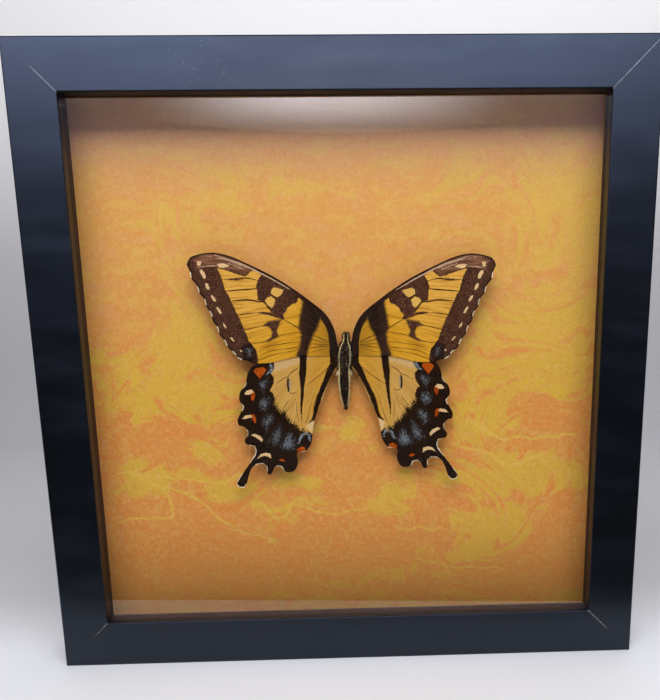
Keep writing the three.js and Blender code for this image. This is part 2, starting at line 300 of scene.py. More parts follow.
FOREWING_VEIN_WIDTHS = [0.2, 0.24, 0.27, 0.17, 0.13, 0.2, 0.14, 0.13, 0.13, 0.17, 0.12, 0.1, 0.12, 0.15, 0.1]

FOREWING_MARKS = {
    "dark": [
        # the outer band and the tip
        ("area", [(49.3, 41.3), (48.2, 38.8), (47.4, 36.3), (46.7, 33.1), (45.5, 31.0), (44.4, 28.1),
                  (43.3, 25.7), (42.4, 23.6), (41.1, 20.7), (40.3, 18.2), (39.2, 15.7), (38.5, 13.1),
                  (36.9, 11.0), (35.4, 8.9), (35.0, 6.3), (35.1, 2.4), (39.6, -1.2), (53.7, 5.0),
                  (62.6, 23.9), (64.9, 40.2), (62.6, 48.6), (49.8, 49.6), (40.5, 48.7), (33.2, 42.8),
                  (35.3, 40.4), (38.4, 37.9), (42.6, 39.1), (46.2, 40.5)], 0.25),
        # the front edge, down to the black base
        ("area", [(35.5, 40.6), (35.4, 43.2), (22.8, 37.0), (10.5, 29.1), (5.6, 24.2), (1.1, 12.1),
                  (1.0, -2.0), (6.0, -2.0), (6.0, 9.7), (6.2, 13.9), (7.1, 17.6), (9.4, 21.5),
                  (12.7, 25.2), (15.6, 27.6), (18.1, 29.6), (20.9, 31.8), (23.5, 33.1),
                  (27.0, 35.3), (32.2, 38.6)], 0.35),
        # the bar at the cell's end, joined to the one across the cell
        ("area", [(31.5, 39.6), (33.7, 36.4), (34.4, 34.1), (34.1, 31.7), (34.0, 28.7), (31.7, 28.0),
                  (30.2, 25.8), (28.7, 23.7), (25.8, 22.3), (23.8, 20.9), (24.2, 23.0), (23.0, 24.1),
                  (21.9, 25.8), (20.6, 26.9), (18.7, 27.4), (18.1, 28.4), (17.8, 30.9),
                  (23.0, 34.6)], 0.22),
        ("area", [(35.4, 23.9), (32.1, 24.3), (28.7, 23.6), (23.9, 22.4), (23.7, 20.8), (27.5, 21.9),
                  (29.6, 22.7), (32.1, 23.2)], 0.3),
        ("stroke", [(44.8, 37.0), (41.0, 37.1)], 0.4, 0.35),
    ],
    "haze": [
        # the bar near the base
        ("area", [(16.0, 29.6), (11.5, 26.6), (8.8, 21.8), (10.3, 17.7), (12.1, 14.8), (13.1, 12.3),
                  (14.7, 8.1), (15.3, -1.0), (19.4, -1.0), (19.5, 6.9), (18.0, 10.7), (17.3, 14.9),
                  (18.4, 17.8), (17.9, 20.7), (17.0, 24.9)], 1.0),
        # a smudge beyond the cell
        ("area", [(30.2, 20.4), (27.6, 20.8), (24.6, 21.0), (25.9, 19.2), (26.8, 16.3), (26.0, 14.3),
                  (27.9, 13.4), (30.3, 12.2), (31.6, 12.4), (29.5, 14.2), (29.0, 15.9), (29.4, 17.5),
                  (30.2, 18.1), (33.0, 18.5)], 0.6),
    ],
    "gap": [
        # two yellow windows in the bars
        ("area", [(27.4, 33.7), (23.5, 32.6), (24.6, 30.7), (26.2, 29.7), (28.7, 31.1),
                  (28.4, 32.8)], 0.22),
        ("area", [(30.2, 29.8), (28.4, 30.2), (27.0, 28.7), (27.7, 26.7), (28.5, 25.6), (29.9, 26.5),
                  (31.2, 28.4)], 0.22),
    ],
    "cream": [
        ("area", [(56.9, 43.9), (55.3, 43.9), (55.8, 42.1), (56.9, 42.3)], 0.3),
        ("area", [(49.3, 42.6), (48.0, 43.1), (46.1, 42.9), (44.2, 42.0), (46.6, 41.4), (48.3, 41.5)], 0.25),
        ("stroke", [(55.7, 40.4), (54.7, 38.8), (54.3, 37.5)], 0.3, 0.75),
        ("stroke", [(54.0, 35.3), (53.0, 33.2)], 0.3, 0.62),
        ("stroke", [(52.0, 30.6), (50.7, 28.7)], 0.3, 0.62),
        ("stroke", [(50.1, 26.1), (48.8, 23.7)], 0.3, 0.52),
        ("stroke", [(48.0, 20.0), (47.1, 17.9)], 0.3, 0.32),
        ("stroke", [(45.4, 14.1), (44.2, 12.8)], 0.3, 0.34),
        ("stroke", [(41.9, 9.1), (41.4, 8.5)], 0.3, 0.32),
    ],
    "bloom": [
        # the mauve tip
        ("area", [(58.3, 45.3), (50.0, 48.9), (42.2, 47.5), (34.2, 42.5), (35.5, 40.6), (38.5, 38.2),
                  (43.4, 39.9), (49.5, 42.2), (54.0, 41.6), (57.7, 40.7)], 1.2),
    ],
    "pale": [
        ("stroke", [(57.1, 41.4), (53.6, 42.0), (49.4, 42.2)], 0.5, 0.16),
        ("stroke", [(53.3, 45.9), (46.4, 44.6), (40.7, 42.6), (37.5, 41.3)], 0.6, 0.14),
        # along the front edge's vein: pale scales, with a painted highlight
        ("stroke", [(50.0, 46.2), (40.7, 43.2), (35.0, 40.5), (28.1, 36.9), (20.8, 32.6)], 0.3, 0.24),
        ("stroke", [(45.3, 43.3), (41.0, 41.6), (38.0, 40.2)], 0.6, 0.12),
    ],
    "blue": [
        ("area", [(39.8, 9.9), (37.8, 10.2), (36.7, 8.0), (37.4, 5.9), (39.2, 6.4)], 1.0),
    ],
}
# The hollows of the outer margin, where the fringe is pale.
FOREWING_NOTCHES = [(60.0, 38.8), (56.8, 33.3), (54.8, 28.3), (52.6, 23.8), (50.1, 17.5), (47.6, 12.2),
                    (44.8, 7.7), (42.6, 5.5)]
NOTCH_REACH = 1.25
FOREWING_FRINGE = 0.3
FRINGE_SOFTNESS = 0.2
VEIN_SOFTNESS = 0.15

HINDWING_VEINS = [
    [(16.6, -6.2), (13.1, -3.7), (7.9, 0.5), (6.5, 1.9)],
    [(28.0, -4.8), (24.8, -2.5), (23.2, -2.1)],
    [(26.7, -16.9), (25.0, -14.1), (23.1, -11.3)],
    [(31.8, -15.9), (29.9, -14.0), (28.3, -12.0)],
    [(24.5, -16.5), (22.1, -13.7), (20.8, -11.0)],
    [(19.6, -20.6), (20.1, -16.6), (20.2, -12.6)],
    [(16.9, -21.8), (16.0, -19.8), (14.0, -12.7)],
    [(23.4, -2.5), (21.9, -0.4), (18.9, 1.6)],
    [(22.9, -8.1), (21.7, -8.9), (19.8, -8.3)],
]
HINDWING_VEIN_WIDTHS = [0.14, 0.12, 0.16, 0.08, 0.08, 0.09, 0.08, 0.16, 0.15]

HINDWING_MARKS = {
    "dark": [
        ("area", [(35.2, 9.0), (29.0, 9.0), (28.6, 2.7), (28.8, 1.3), (30.1, -0.6), (29.0, -2.2),
                  (29.0, -4.2), (30.0, -6.1), (30.8, -7.7), (29.5, -8.5), (29.0, -10.8), (29.3, -12.4),
                  (31.2, -14.0), (33.0, -20.0), (30.0, -28.0), (22.0, -30.0), (18.0, -27.0),
                  (15.3, -24.9), (13.8, -26.1), (10.8, -30.8), (15.2, -45.1), (47.6, -51.0),
                  (48.9, -16.0), (44.1, -0.4)], 0.3),
        # its hairy inner edge
        ("area", [(29.3, -12.0), (28.8, -13.6), (27.6, -13.8), (26.7, -16.0), (25.3, -16.0),
                  (24.2, -18.1), (22.7, -20.3), (20.0, -22.6), (18.9, -24.0), (16.9, -24.2),
                  (15.6, -25.4), (18.0, -31.0), (30.0, -32.0), (36.0, -16.0), (31.0, -10.0)], 1.7),
        # the tapered stripe from the front edge to the anal corner
        ("area", [(17.9, 11.0), (14.8, 11.0), (15.3, 4.6), (15.8, -0.9), (16.6, -5.6), (17.0, -9.5),
                  (17.7, -14.2), (18.15, -19.0), (18.3, -22.8), (18.5, -19.0), (18.6, -14.2),
                  (18.3, -9.5), (18.4, -4.7), (18.7, -0.8), (18.3, 3.8)], 0.3),
        ("area", [(23.7, -2.8), (22.9, -2.5), (23.0, -5.4), (22.7, -7.9), (23.6, -8.3),
                  (23.8, -5.4)], 0.2),
        # along the inner edge
        ("area", [(6.0, 12.0), (-0.5, 12.0), (1.9, 3.5), (4.9, -0.9), (7.7, -6.3), (9.8, -11.0),
                  (11.2, -15.1), (12.3, -19.5), (13.6, -20.8), (16.2, -21.9), (14.3, -19.9),
                  (13.7, -18.3), (13.0, -14.3), (11.8, -10.4), (9.7, -5.7), (7.6, -0.2),
                  (5.9, 3.2)], 0.3),
    ],
    "cream": [
        ("area", [(41.3, -8.7), (40.2, -7.3), (38.4, -6.9), (37.3, -7.9), (38.9, -8.9), (40.5, -9.1)], 0.22),
        ("area", [(42.8, -19.0), (41.3, -17.6), (39.1, -17.3), (38.3, -18.4), (41.2, -18.9)], 0.22),
        ("area", [(39.5, -25.8), (37.9, -25.2), (35.6, -26.3), (34.6, -27.7), (35.0, -28.8),
                  (36.5, -27.5), (38.0, -26.5)], 0.22),
        ("area", [(37.4, -36.0), (35.8, -34.0), (33.6, -33.3), (31.8, -33.9), (31.5, -35.8),
                  (32.6, -35.1), (34.4, -34.7), (35.8, -35.0)], 0.22),
        ("area", [(19.3, -33.5), (17.0, -32.7), (16.7, -33.4), (18.4, -34.0), (20.0, -34.4)], 0.22),
        ("area", [(16.8, -22.7), (12.5, -20.2), (12.6, -24.9), (14.3, -25.7), (15.6, -23.6)], 1.5),
    ],
    "orange": [
        ("area", [(37.1, 0.5), (35.9, 1.8), (32.7, 2.1), (32.0, 0.8), (33.3, -1.0), (34.7, -2.7),
                  (35.8, -1.1)], 0.25),
        ("area", [(38.3, -7.8), (37.0, -7.9), (37.0, -9.9), (38.1, -11.9), (38.6, -10.5),
                  (38.8, -9.0)], 0.3),
        ("area", [(39.1, -17.2), (37.9, -17.1), (36.9, -19.0), (37.3, -21.1), (38.2, -20.2),
                  (38.5, -18.6)], 0.3),
        ("area", [(28.2, -36.7), (26.9, -36.0), (25.7, -37.3), (26.9, -37.3)], 0.5),
        ("area", [(20.7, -32.2), (18.7, -31.2), (17.1, -31.7), (17.4, -32.8), (19.2, -33.4),
                  (20.4, -34.2)], 0.25),
    ],
    "blue": [
        ("area", [(35.4, -4.4), (31.6, -2.6), (31.5, -5.1), (33.6, -8.6), (34.8, -6.4)], 1.1),
        ("area", [(35.9, -12.1), (33.7, -10.2), (31.2, -10.6), (31.4, -13.2), (33.2, -15.9),
                  (35.1, -14.7)], 1.1),
        ("area", [(34.7, -20.3), (32.9, -17.9), (29.5, -16.9), (29.7, -20.0), (32.3, -22.5),
                  (32.8, -24.5), (34.0, -21.9)], 1.2),
        ("area", [(32.2, -28.8), (29.6, -24.4), (27.1, -21.5), (26.8, -25.7), (28.2, -29.7),
                  (30.6, -30.2)], 1.4),
        ("area", [(27.9, -31.5), (25.8, -27.7), (23.3, -24.6), (21.6, -27.0), (21.2, -31.0),
                  (23.2, -33.0), (25.9, -31.9)], 1.1),
    ],
    "pale": [
        ("stroke", [(30.4, 3.5), (29.4, 1.7), (30.7, -0.2), (31.7, -0.8)], 0.5, 0.3),
        ("stroke", [(20.1, -29.8), (18.6, -26.6), (16.7, -25.3), (15.5, -26.5), (15.1, -28.5)], 0.5, 0.38),
        ("stroke", [(22.5, -2.8), (22.7, -5.8), (22.5, -8.0)], 0.35, 0.14),
    ],
    "wash": [
        # the cream strip under the forewing's hind edge
        ("area", [(29.5, 3.5), (29.7, -0.3), (25.4, 1.4), (18.5, 3.5), (14.0, 5.5), (6.1, 7.1),
                  (6.1, 9.0), (21.2, 8.5), (29.0, 7.1)], 0.8),
        ("stroke", [(29.7, -0.3), (25.4, 1.4), (18.3, 3.5)], 0.5, 0.25),
        ("stroke", [(2.8, 1.6), (5.5, -1.6), (8.0, -6.9), (10.1, -12.8), (12.1, -19.9),
                    (13.0, -24.9)], 0.25, 0.2),
    ],
}
# The pale fringe in the margin's hollows: a path along the edge for each.
HINDWING_FRINGES = [
    [(40.3, -3.9), (41.2, -5.6), (42.0, -6.4)],
    [(43.2, -12.4), (42.0, -13.8), (42.5, -15.6)],
    [(42.9, -22.1), (40.9, -23.9), (40.8, -26.0)],
    [(40.3, -30.0), (38.2, -30.6), (37.7, -32.4), (38.2, -34.4), (40.3, -37.5)],
    [(39.9, -40.2), (37.6, -38.3), (35.2, -38.0), (33.6, -39.2), (33.4, -41.4)],
    [(30.4, -40.2), (29.2, -39.3), (27.4, -39.6), (26.3, -41.4)],
    [(40.6, -37.3), (43.5, -41.8), (46.1, -46.4)],
    [(45.9, -46.6), (45.3, -47.9), (43.8, -47.8), (42.4, -46.2)],
]
FRINGE_HALF_WIDTHS = [0.34, 0.34, 0.34, 0.24, 0.28, 0.34, 0.2, 0.22]
TAIL_LINE = np.array([(40.6, -39.5), (44.4, -46.8)])  # the middle of the tail's free part
TAIL_SWELL = 0.42  # how much wider the tail's end is than its solid, on each side


def edged(depth, softness):
    """0.5 on an edge, more inside and less outside. It changes by 1 over twice the softness."""
    return np.clip(0.5 + depth / (2 * softness), -1.0, 2.0)


def field_of(points, marks):
    """The marks' edged field, each with its own softness."""
    best = np.full(len(points), -1.0)
    for kind, shape, softness, *width in marks:
        if kind == "area":
            depth = depth_inside(points, shape)
        else:
            depth = depth_in_stroke(points, shape, width[0])
        best = np.maximum(best, edged(depth, softness))
    return best


# ---- Wings ----

def front_outline(name):
    """The edge of a flat CAD piece's front face, in order, in mm from the frame's centre."""
    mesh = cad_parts[name].data
    edges = []
    for face in mesh.polygons:
        if face.normal.y > -0.5:
            continue
        around = [mesh.vertices[i].co / MM for i in face.vertices]
        around = [(round(p.x, 2), round(p.z - CENTRE, 2)) for p in around]
        for a, b in zip(around, around[1:] + around[:1]):
            if (b, a) in edges:
                edges.remove((b, a))  # two faces share it
            else:
                edges.append((a, b))
    following = dict(edges)
    loop = [edges[0][0]]
    while following[loop[-1]] != loop[0]:
        loop.append(following[loop[-1]])
    return np.array(loop)


def clubbed(points):
    """Swells the end of the tail into a club."""
    root, tip = TAIL_LINE
    length = np.linalg.norm(tip - root)
    ahead = (tip - root) / length
    sideways = np.array([-ahead[1], ahead[0]])
    along, across = (points - root) @ ahead, (points - root) @ sideways
    swell = TAIL_SWELL * np.clip(along / length, 0, 1) * (np.abs(across) < 2.6)
    return points + np.outer(np.clip(across / 0.8, -1, 1) * swell, sideways)


def meshed(outline, creases, spacing):
    """Fills an outline with even triangles that have points along the creases."""
    low, high = outline.min(0), outline.max(0)
    rows = np.arange(low[1], high[1], spacing * ROW_SPACING)
    grid = np.array([(x + (i % 2) * spacing / 2, y) for i, y in enumerate(rows)
                     for x in np.arange(low[0], high[0], spacing)])
    grid = grid[depth_inside(grid, outline) > 0.55 * spacing]
    lines = []
    for crease in creases:
        line = crease[depth_inside(crease, outline) > 0.6 * spacing]
        if len(line) > 2:
            lines.append(line)
            grid = grid[depth_in_stroke(grid, line, 0.0, 1.0) < -0.5 * spacing]
    edges = []
    at = len(outline)
    for line in lines:
        edges += [(at + i, at + i + 1) for i in range(len(line) - 1)]
        at += len(line)
    points = [Vector(p) for p in np.vstack([outline, *lines, grid])]
    filled = delaunay_2d_cdt(points, edges, [list(range(len(outline)))], 1, 1e-4)
    return np.array([tuple(v) for v in filled[0]]), np.array(filled[2])


def fanned(points, heart):
    """Each point's direction from a centre in degrees, and its distance, as a flat place."""
    away = points - np.array(heart)
    return np.column_stack([np.degrees(np.arctan2(away[:, 1], away[:, 0])),
                            np.linalg.norm(away, axis=1), np.zeros(len(points))])


def wing_drawing(kind):
    """The mesh, relief and colour fields of a drawn wing, which both sides share."""
    fore = kind == "forewing"
    outline = front_outline(kind + "_left") * (-1, 1)
    following = np.roll(outline, -1, axis=0)
    if np.sum(outline[:, 0] * following[:, 1] - following[:, 0] * outline[:, 1]) < 0:
        outline = outline[::-1]  # so that it runs anticlockwise
    outline = smooth_path(outline, WING_MESH, closed=True)
    if not fore:
        outline = clubbed(outline)
    veins = [smooth_path(vein, WING_MESH) for vein in (FOREWING_VEINS if fore else HINDWING_VEINS)]
    widths = FOREWING_VEIN_WIDTHS if fore else HINDWING_VEIN_WIDTHS
    points, triangles = meshed(outline, veins, WING_MESH)

    fields = {name: field_of(points, marks)
              for name, marks in (FOREWING_MARKS if fore else HINDWING_MARKS).items()}
    near_vein = np.full(len(points), -1.0)
    ridge = np.zeros(len(points))
    for vein, width in zip(veins, widths):
        depth = depth_in_stroke(points, vein, width)
        near_vein = np.maximum(near_vein, edged(depth, VEIN_SOFTNESS))
        ridge = np.maximum(ridge, np.exp(-((np.minimum(depth, 0) / 0.25) ** 2)) * width / 0.2)
    fields["vein"] = near_vein

    edge = depth_inside(points, outline)
    if fore:
        fringe = np.full(len(points), -1.0)
        for notch in FOREWING_NOTCHES:
            near = NOTCH_REACH - np.linalg.norm(points - notch, axis=1)
            depth = np.minimum(FOREWING_FRINGE - edge, near * 0.5)
            fringe = np.maximum(fringe, edged(depth, FRINGE_SOFTNESS))
    else:
        fringe = field_of(points, [("stroke", clubbed(np.array(path)), FRINGE_SOFTNESS, half_width)
                                   for path, half_width in zip(HINDWING_FRINGES, FRINGE_HALF_WIDTHS)])
    fields["fringe"] = fringe
    fields["margin"] = edge

    # The scales' rows fan out from these centres, one for the outer and one for the inner part.
    fields["flow"] = fanned(points, (-84.0, 40.0) if fore else (15.0, 3.0))
    fields["inner_flow"] = fanned(points, (0.0, 10.0) if fore else (6.0, 6.0))
    fields["drawn"] = np.column_stack([points, np.zeros(len(points))])

    if fore:
        turns = (points[:, 1] + 0.22 * points[:, 0]) / 4.6  # a pleat every 4.6 mm
    else:
        turns = fields["flow"][:, 0] / 360 * 26  # 26 pleats to a full fan
    relief = 0.05 * ridge + 0.035 * np.sin(2 * math.pi * turns) + 0.03 * drift(points, 7, 5)
    return points, triangles, np.clip(relief, -0.09, 0.12), fields


def placed(drawn, side, turn, size):
    """Where drawn points lie, as x and height in mm from the frame's centre."""
    angle = math.radians(turn)
    x, y = ((drawn - WING_ROOT) * size).T
    turned_x = x * math.cos(angle) - y * math.sin(angle)
    turned_y = x * math.sin(angle) + y * math.cos(angle)
    return side * (turned_x + WING_ROOT[0]), turned_y + WING_ROOT[1]


def make_wing(name, drawing, material):
    """A thin closed wing in the place of its CAD solid."""
    points, triangles, relief, fields = drawing
    side, turn, size = SETTING[name]
    x, z = placed(points, side, turn, size)
    height = WING_HEIGHT[name.split("_")[0]] + SOLID_WING / 2
    settle = -OVERLAP_DROP * np.clip((11 - points[:, 1]) / 7, 0, 1) if name.startswith("fore") else 0.1
    middle = PAPER_FRONT - height - settle - WING_RISE * (np.abs(x) / WING_REACH) ** 1.5
    front = np.column_stack([x, middle - WING_HALF_THICKNESS - relief, z + CENTRE])
    back = np.column_stack([x, middle + WING_HALF_THICKNESS - relief, z + CENTRE])
    facing = triangles if side > 0 else triangles[:, ::-1]
    n = len(points)
    sides = [(a, b) for tri in facing.tolist() for a, b in zip(tri, tri[1:] + tri[:1])]
    shared = set(sides)
    walls = [(b, a, a + n, b + n) for a, b in sides if (b, a) not in shared]
    faces = [*facing.tolist(), *(facing[:, ::-1] + n).tolist(), *walls]
    doubled = {k: np.concatenate([v, v]) for k, v in fields.items()}
    made = piece(name + "_scaled", np.vstack([front, back]), faces, [material], fields=doubled)
    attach(made, "root")
    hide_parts(name)
    return made


def wing_scales(name, fore):
    """Wing scales: a matt dust of tiny overlapping plates, laid in rows along the veins, so each
    colour is grainy and streaked and its edges are ragged."""
    material, tree, shader, place = finish_named(name)
    marks = [*(FOREWING_MARKS if fore else HINDWING_MARKS), "vein", "fringe", "margin"]
    depth = {mark: node(tree, "Attribute", attribute_name=mark).outputs["Fac"] for mark in marks}
    flow, inner_flow, drawn = (node(tree, "Attribute", attribute_name=layer).outputs["Vector"]
                               for layer in ("flow", "inner_flow", "drawn"))
    drawn = node(tree, "SeparateXYZ", (drawn,))
    across, up = drawn.outputs["X"], drawn.outputs["Y"]
    grain = cloud(tree, place, 0.42)
    blots = cloud(tree, place, 1.6)
    outer = cloud(tree, flow, 0.5 if fore else 1.3, stretch=(1, 22, 1))
    inner = cloud(tree, inner_flow, 1.3, stretch=(1, 9, 1))
    streak = node(tree, "Mix", {0: eased(tree, (across, 12.0, 24.0)), 2: inner, 3: outer})
    wobble = swayed(tree, swayed(tree, 0.0, grain, 1.4), streak, 0.9)

    def mask(mark, reach, low=0.36, high=0.64):
        """How much of a mark shows. Its edge wanders among the scales, by that reach."""
        edge = node(tree, "Math", (wobble, reach, depth[mark]), operation="MULTIPLY_ADD")
        return eased(tree, (edge, low, high))

    if fore:
        towards_tip = node(tree, "Math", (up, 1.35, across), operation="MULTIPLY_ADD")
        ground = coats(tree, "#D89A22",
                       ("#E2A84A", towards_tip, 38.0, 84.0),
                       ("#B0741C", streak, 0.45, 0.68, 0.7),
                       ("#E2AC48", streak, 0.47, 0.28, 0.55),
                       # darker brown towards the body: dark scales at the wing's base, and painted shade
                       # beside the body
                       ("#8C601C", across, 15.5, 6.5, 0.6),
                       ("#DBAA54", mask("gap", 0.8)))
    else:
        ground = coats(tree, "#CF9D50",
                       ("#CE932C", across, 22.0, 9.0, 0.9),
                       ("#A67631", streak, 0.48, 0.72, 0.75),
                       ("#DDB26D", streak, 0.46, 0.28, 0.5),
                       ("#D0A873", mask("wash", 1.2)))
    ground = coats(tree, ground,
                   ("#96601F", grain, 0.55, 0.72, 0.35 if fore else 0.5),
                   ("#2E1A0C", mask("vein", 0.7)))

    brown, flecks, blotches = ("#48291A", "#7A5240", "#2E180D") if fore else ("#1F0F04", "#3C2716", "#120903")
    brown = coats(tree, brown,
                  (flecks, grain, 0.48, 0.72, 0.8),
                  (blotches, blots, 0.45, 0.7, 0.5))
    dark = mask("dark", 1.3)
    if fore:
        hairs = eased(tree, (streak, 0.50, 0.68), (across, 22.0, 14.0, 0.0, 0.4))
        bloom = coats(tree, "#6C432F", ("#93654C", streak, 0.45, 0.62, 0.6))
        brown = coats(tree, brown,
                      ("#1C1009", across, 24.0, 12.0, 0.9),
                      ("#4A3A2E", hairs),
                      (bloom, mask("bloom", 1.0, 0.2, 0.9)),
                      ("#1E110B", depth["margin"], 0.95, 0.35, 0.85),
                      # pale streaks; the one along the front edge is partly a painted highlight on its vein
                      ("#C8A588", mask("pale", 0.35)),
                      ("#180E0A", depth["blue"], -0.8, 0.1, 0.8))
        dark = node(tree, "Math", (dark, mask("haze", 0.7, 0.1, 0.9)), operation="MAXIMUM")
        solid = node(tree, "Math", (1.0, mask("gap", 0.8)), operation="SUBTRACT")
        dark = eased(tree, dark, solid)
    colour = coats(tree, ground, (brown, dark))

    dusting = swayed(tree, swayed(tree, depth["blue"], cloud(tree, place, 0.36, 1.0), 3.8), streak, 1.0)
    colour = coats(tree, colour, ("#7E8690", dusting, 0.62, 1.5, 0.72))
    if not fore:
        orange = coats(tree, "#B24C08", ("#823303", blots, 0.45, 0.65, 0.8))
        colour = coats(tree, colour, ("#7F858F", mask("pale", 2.0)), (orange, mask("orange", 0.8)))
    colour = coats(tree, colour,
                   ("#E0B887", mask("cream", 0.8)),
                   ("#F0E2C8", mask("fringe", 0.5)))
    shade = eased(tree, (grain, 0.25, 0.75, 0.84, 1.14))
    colour = node(tree, "VectorMath", {0: colour, "Scale": shade}, operation="SCALE")
    surface(shader, Base_Color=colour, Roughness=0.8, IOR=1.4, Specular_IOR_Level=0.08)
    raised(tree, shader, node(tree, "Mix", {0: 0.5, 2: grain, 3: streak}), 0.06)
    return material


def make_wings():
    """Both sides' wings, the hindwings first, since the forewings lie on them."""
    for kind in ("hindwing", "forewing"):
        drawing = wing_drawing(kind)
        material = wing_scales(kind + " scales", kind == "forewing")
        for side in ("left", "right"):
            make_wing(f"{kind}_{side}", drawing, material)


# ---- Body ----

BODY_AXIS_HEIGHT = 3.05
BODY_DEPTH_RATIO = 1.05
BODY_PROFILE = [  # half-width and level, from the tail to the head
    (0, -16.3), (0.6, -15.8), (1.1, -14.3), (1.7, -12), (2.1, -9.5), (2.35, -6.5), (2.5, -3),
    (2.4, -0.5), (2.25, 1), (2.45, 2.8), (2.6, 5), (2.55, 8), (2.25, 10), (1.55, 11.6),
    (1.4, 12.8), (1.35, 14), (1.0, 14.9), (0, 15.4),
]
BODY_SIDES = 48
EYE_RADIUS = 0.85
EYE_SPREAD = 0.95
EYE_LEVEL = 13.4
THORAX_LEVEL = 6.0
HAIRS = 8500


def body_middle(level):
    """How far to the right the body's bent middle line is at a level."""
    return -0.2 + 0.028 * level + 0.0032 * level * level


def body_point(level, angle, radius):
    """A point on the body. Angle 0 faces the glass and goes round by the right."""
    x = body_middle(level) + radius * np.sin(angle)
    y = PAPER_FRONT - BODY_AXIS_HEIGHT - radius * BODY_DEPTH_RATIO * np.cos(angle)
    return np.column_stack([x, y, level + CENTRE])


def stripe_at(level, angle):
    """How much of the pale side stripe is at a place on the body."""
    across = np.abs(np.sin(angle))
    low = np.interp(level, [-15, -9, -1, 2, 9, 13], [0.62, 0.73, 0.71, 0.73, 0.73, 0.42])
    high = np.interp(level, [-15, -9, -1, 2, 9, 13], [1.2, 1.2, 1.2, 0.98, 0.97, 0.70])
    edge = np.minimum(across - low, high - across) / 0.12
    ends = np.minimum((level + 14.8) / 1.2, (14.4 - level) / 0.8)
    return np.clip(0.5 + np.minimum(edge, ends), 0, 1) * (np.cos(angle) > 0.0)


def make_body(skin, eye_finish, hair):
    """Head, thorax and abdomen with their rings, the eyes, and the hair that covers them."""
    profile = smooth_path([(level, r) for r, level in BODY_PROFILE], 0.28)
    levels, radii = profile[:, 0], np.maximum(profile[:, 1], 0.0)
    segment = np.clip((1.5 - levels) / 3, 0, 1)  # the abdomen's rings
    radii = radii * (1 - 0.035 * segment * np.abs(np.sin(math.pi * levels / 2.1)) ** 8)
    around = np.arange(BODY_SIDES) * 2 * math.pi / BODY_SIDES
    rings = [body_point(np.full(BODY_SIDES, lev), around, r) for lev, r in zip(levels[1:-1], radii[1:-1])]
    points = [body_point(np.array([levels[0]]), np.zeros(1), 0.0), *rings,
              body_point(np.array([levels[-1]]), np.zeros(1), 0.0)]
    stripes = [np.zeros(1), *(stripe_at(np.full(BODY_SIDES, lev), around) for lev in levels[1:-1]),
               np.zeros(1)]
    faces = []
    for ring in range(len(rings) - 1):
        a = 1 + ring * BODY_SIDES
        for i in range(BODY_SIDES):
            j = (i + 1) % BODY_SIDES
            faces.append((a + i, a + j, a + BODY_SIDES + j, a + BODY_SIDES + i))
    last = 1 + (len(rings) - 1) * BODY_SIDES
    tip = last + BODY_SIDES
    for i in range(BODY_SIDES):
        j = (i + 1) % BODY_SIDES
        faces.append((0, 1 + j, 1 + i))
        faces.append((last + i, last + j, tip))
    kinds = [0] * len(faces)
    points, stripes = list(np.vstack(points)), list(np.concatenate(stripes))

    for side in (-1, 1):
        add_eye(points, faces, kinds, stripes, side)
    add_hair(points, faces, kinds, stripes)
    made = piece("butterfly_body_haired", points, faces, [skin, eye_finish, hair], kinds,
                 {"stripe": np.array(stripes)}, sharp=60)
    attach(made, "root")
    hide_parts("butterfly_body")


def add_eye(points, faces, kinds, stripes, side):
    """A compound eye: a round bead on the side of the head."""
    start = len(points)
    rows, columns = 12, 20
    middle = np.array([side * EYE_SPREAD + body_middle(EYE_LEVEL), PAPER_FRONT - BODY_AXIS_HEIGHT,
                       EYE_LEVEL + CENTRE])
    for row in range(rows + 1):
        polar = math.pi * row / rows
        count = 1 if row in (0, rows) else columns
        for column in range(count):
            turn = 2 * math.pi * column / columns
            offset = (math.sin(polar) * math.cos(turn), math.sin(polar) * math.sin(turn), math.cos(polar))
            points.append(middle + EYE_RADIUS * np.array(offset))
            stripes.append(0.0)
    first = start + 1
    for column in range(columns):
        step = (column + 1) % columns
        faces.append((start, first + column, first + step))
        for row in range(rows - 2):
            a, b = first + row * columns, first + (row + 1) * columns
            faces.append((a + column, b + column, b + step, a + step))
        a = first + (rows - 2) * columns
        faces.append((a + column, a + columns, a + step))
    kinds.extend([1] * (len(faces) - len(kinds)))


def grow(points, faces, kinds, stripes, root, aim, normal, length, thickness, tint):
    """Tapered three-sided hairs: each bends once, and its tip droops towards the skin."""
    aim = aim / np.linalg.norm(aim, axis=1)[:, None]
    side = np.cross(aim, normal)
    side /= np.linalg.norm(side, axis=1)[:, None]
    up = np.cross(side, aim)
    bend = root + aim * (0.55 * length)[:, None]
    tip = root + aim * length[:, None] - normal * (0.1 * length)[:, None]
    for i in range(len(root)):
        start = len(points)
        for centre, share in ((root[i], 1.0), (bend[i], 0.7)):
            for turn in (0, 1, 2):
                a = 2 * math.pi * turn / 3
                points.append(centre + thickness[i] * share * (side[i] * math.cos(a) + up[i] * math.sin(a)))
        points.append(tip[i])
        for turn in range(3):
            step = (turn + 1) % 3
            faces.append((start + turn, start + step, start + 3 + step, start + 3 + turn))
            faces.append((start + 3 + turn, start + 3 + step, start + 6))
        faces.append((start + 2, start + 1, start))
        stripes.extend([tint[i]] * 7)
    kinds.extend([2] * (len(faces) - len(kinds)))


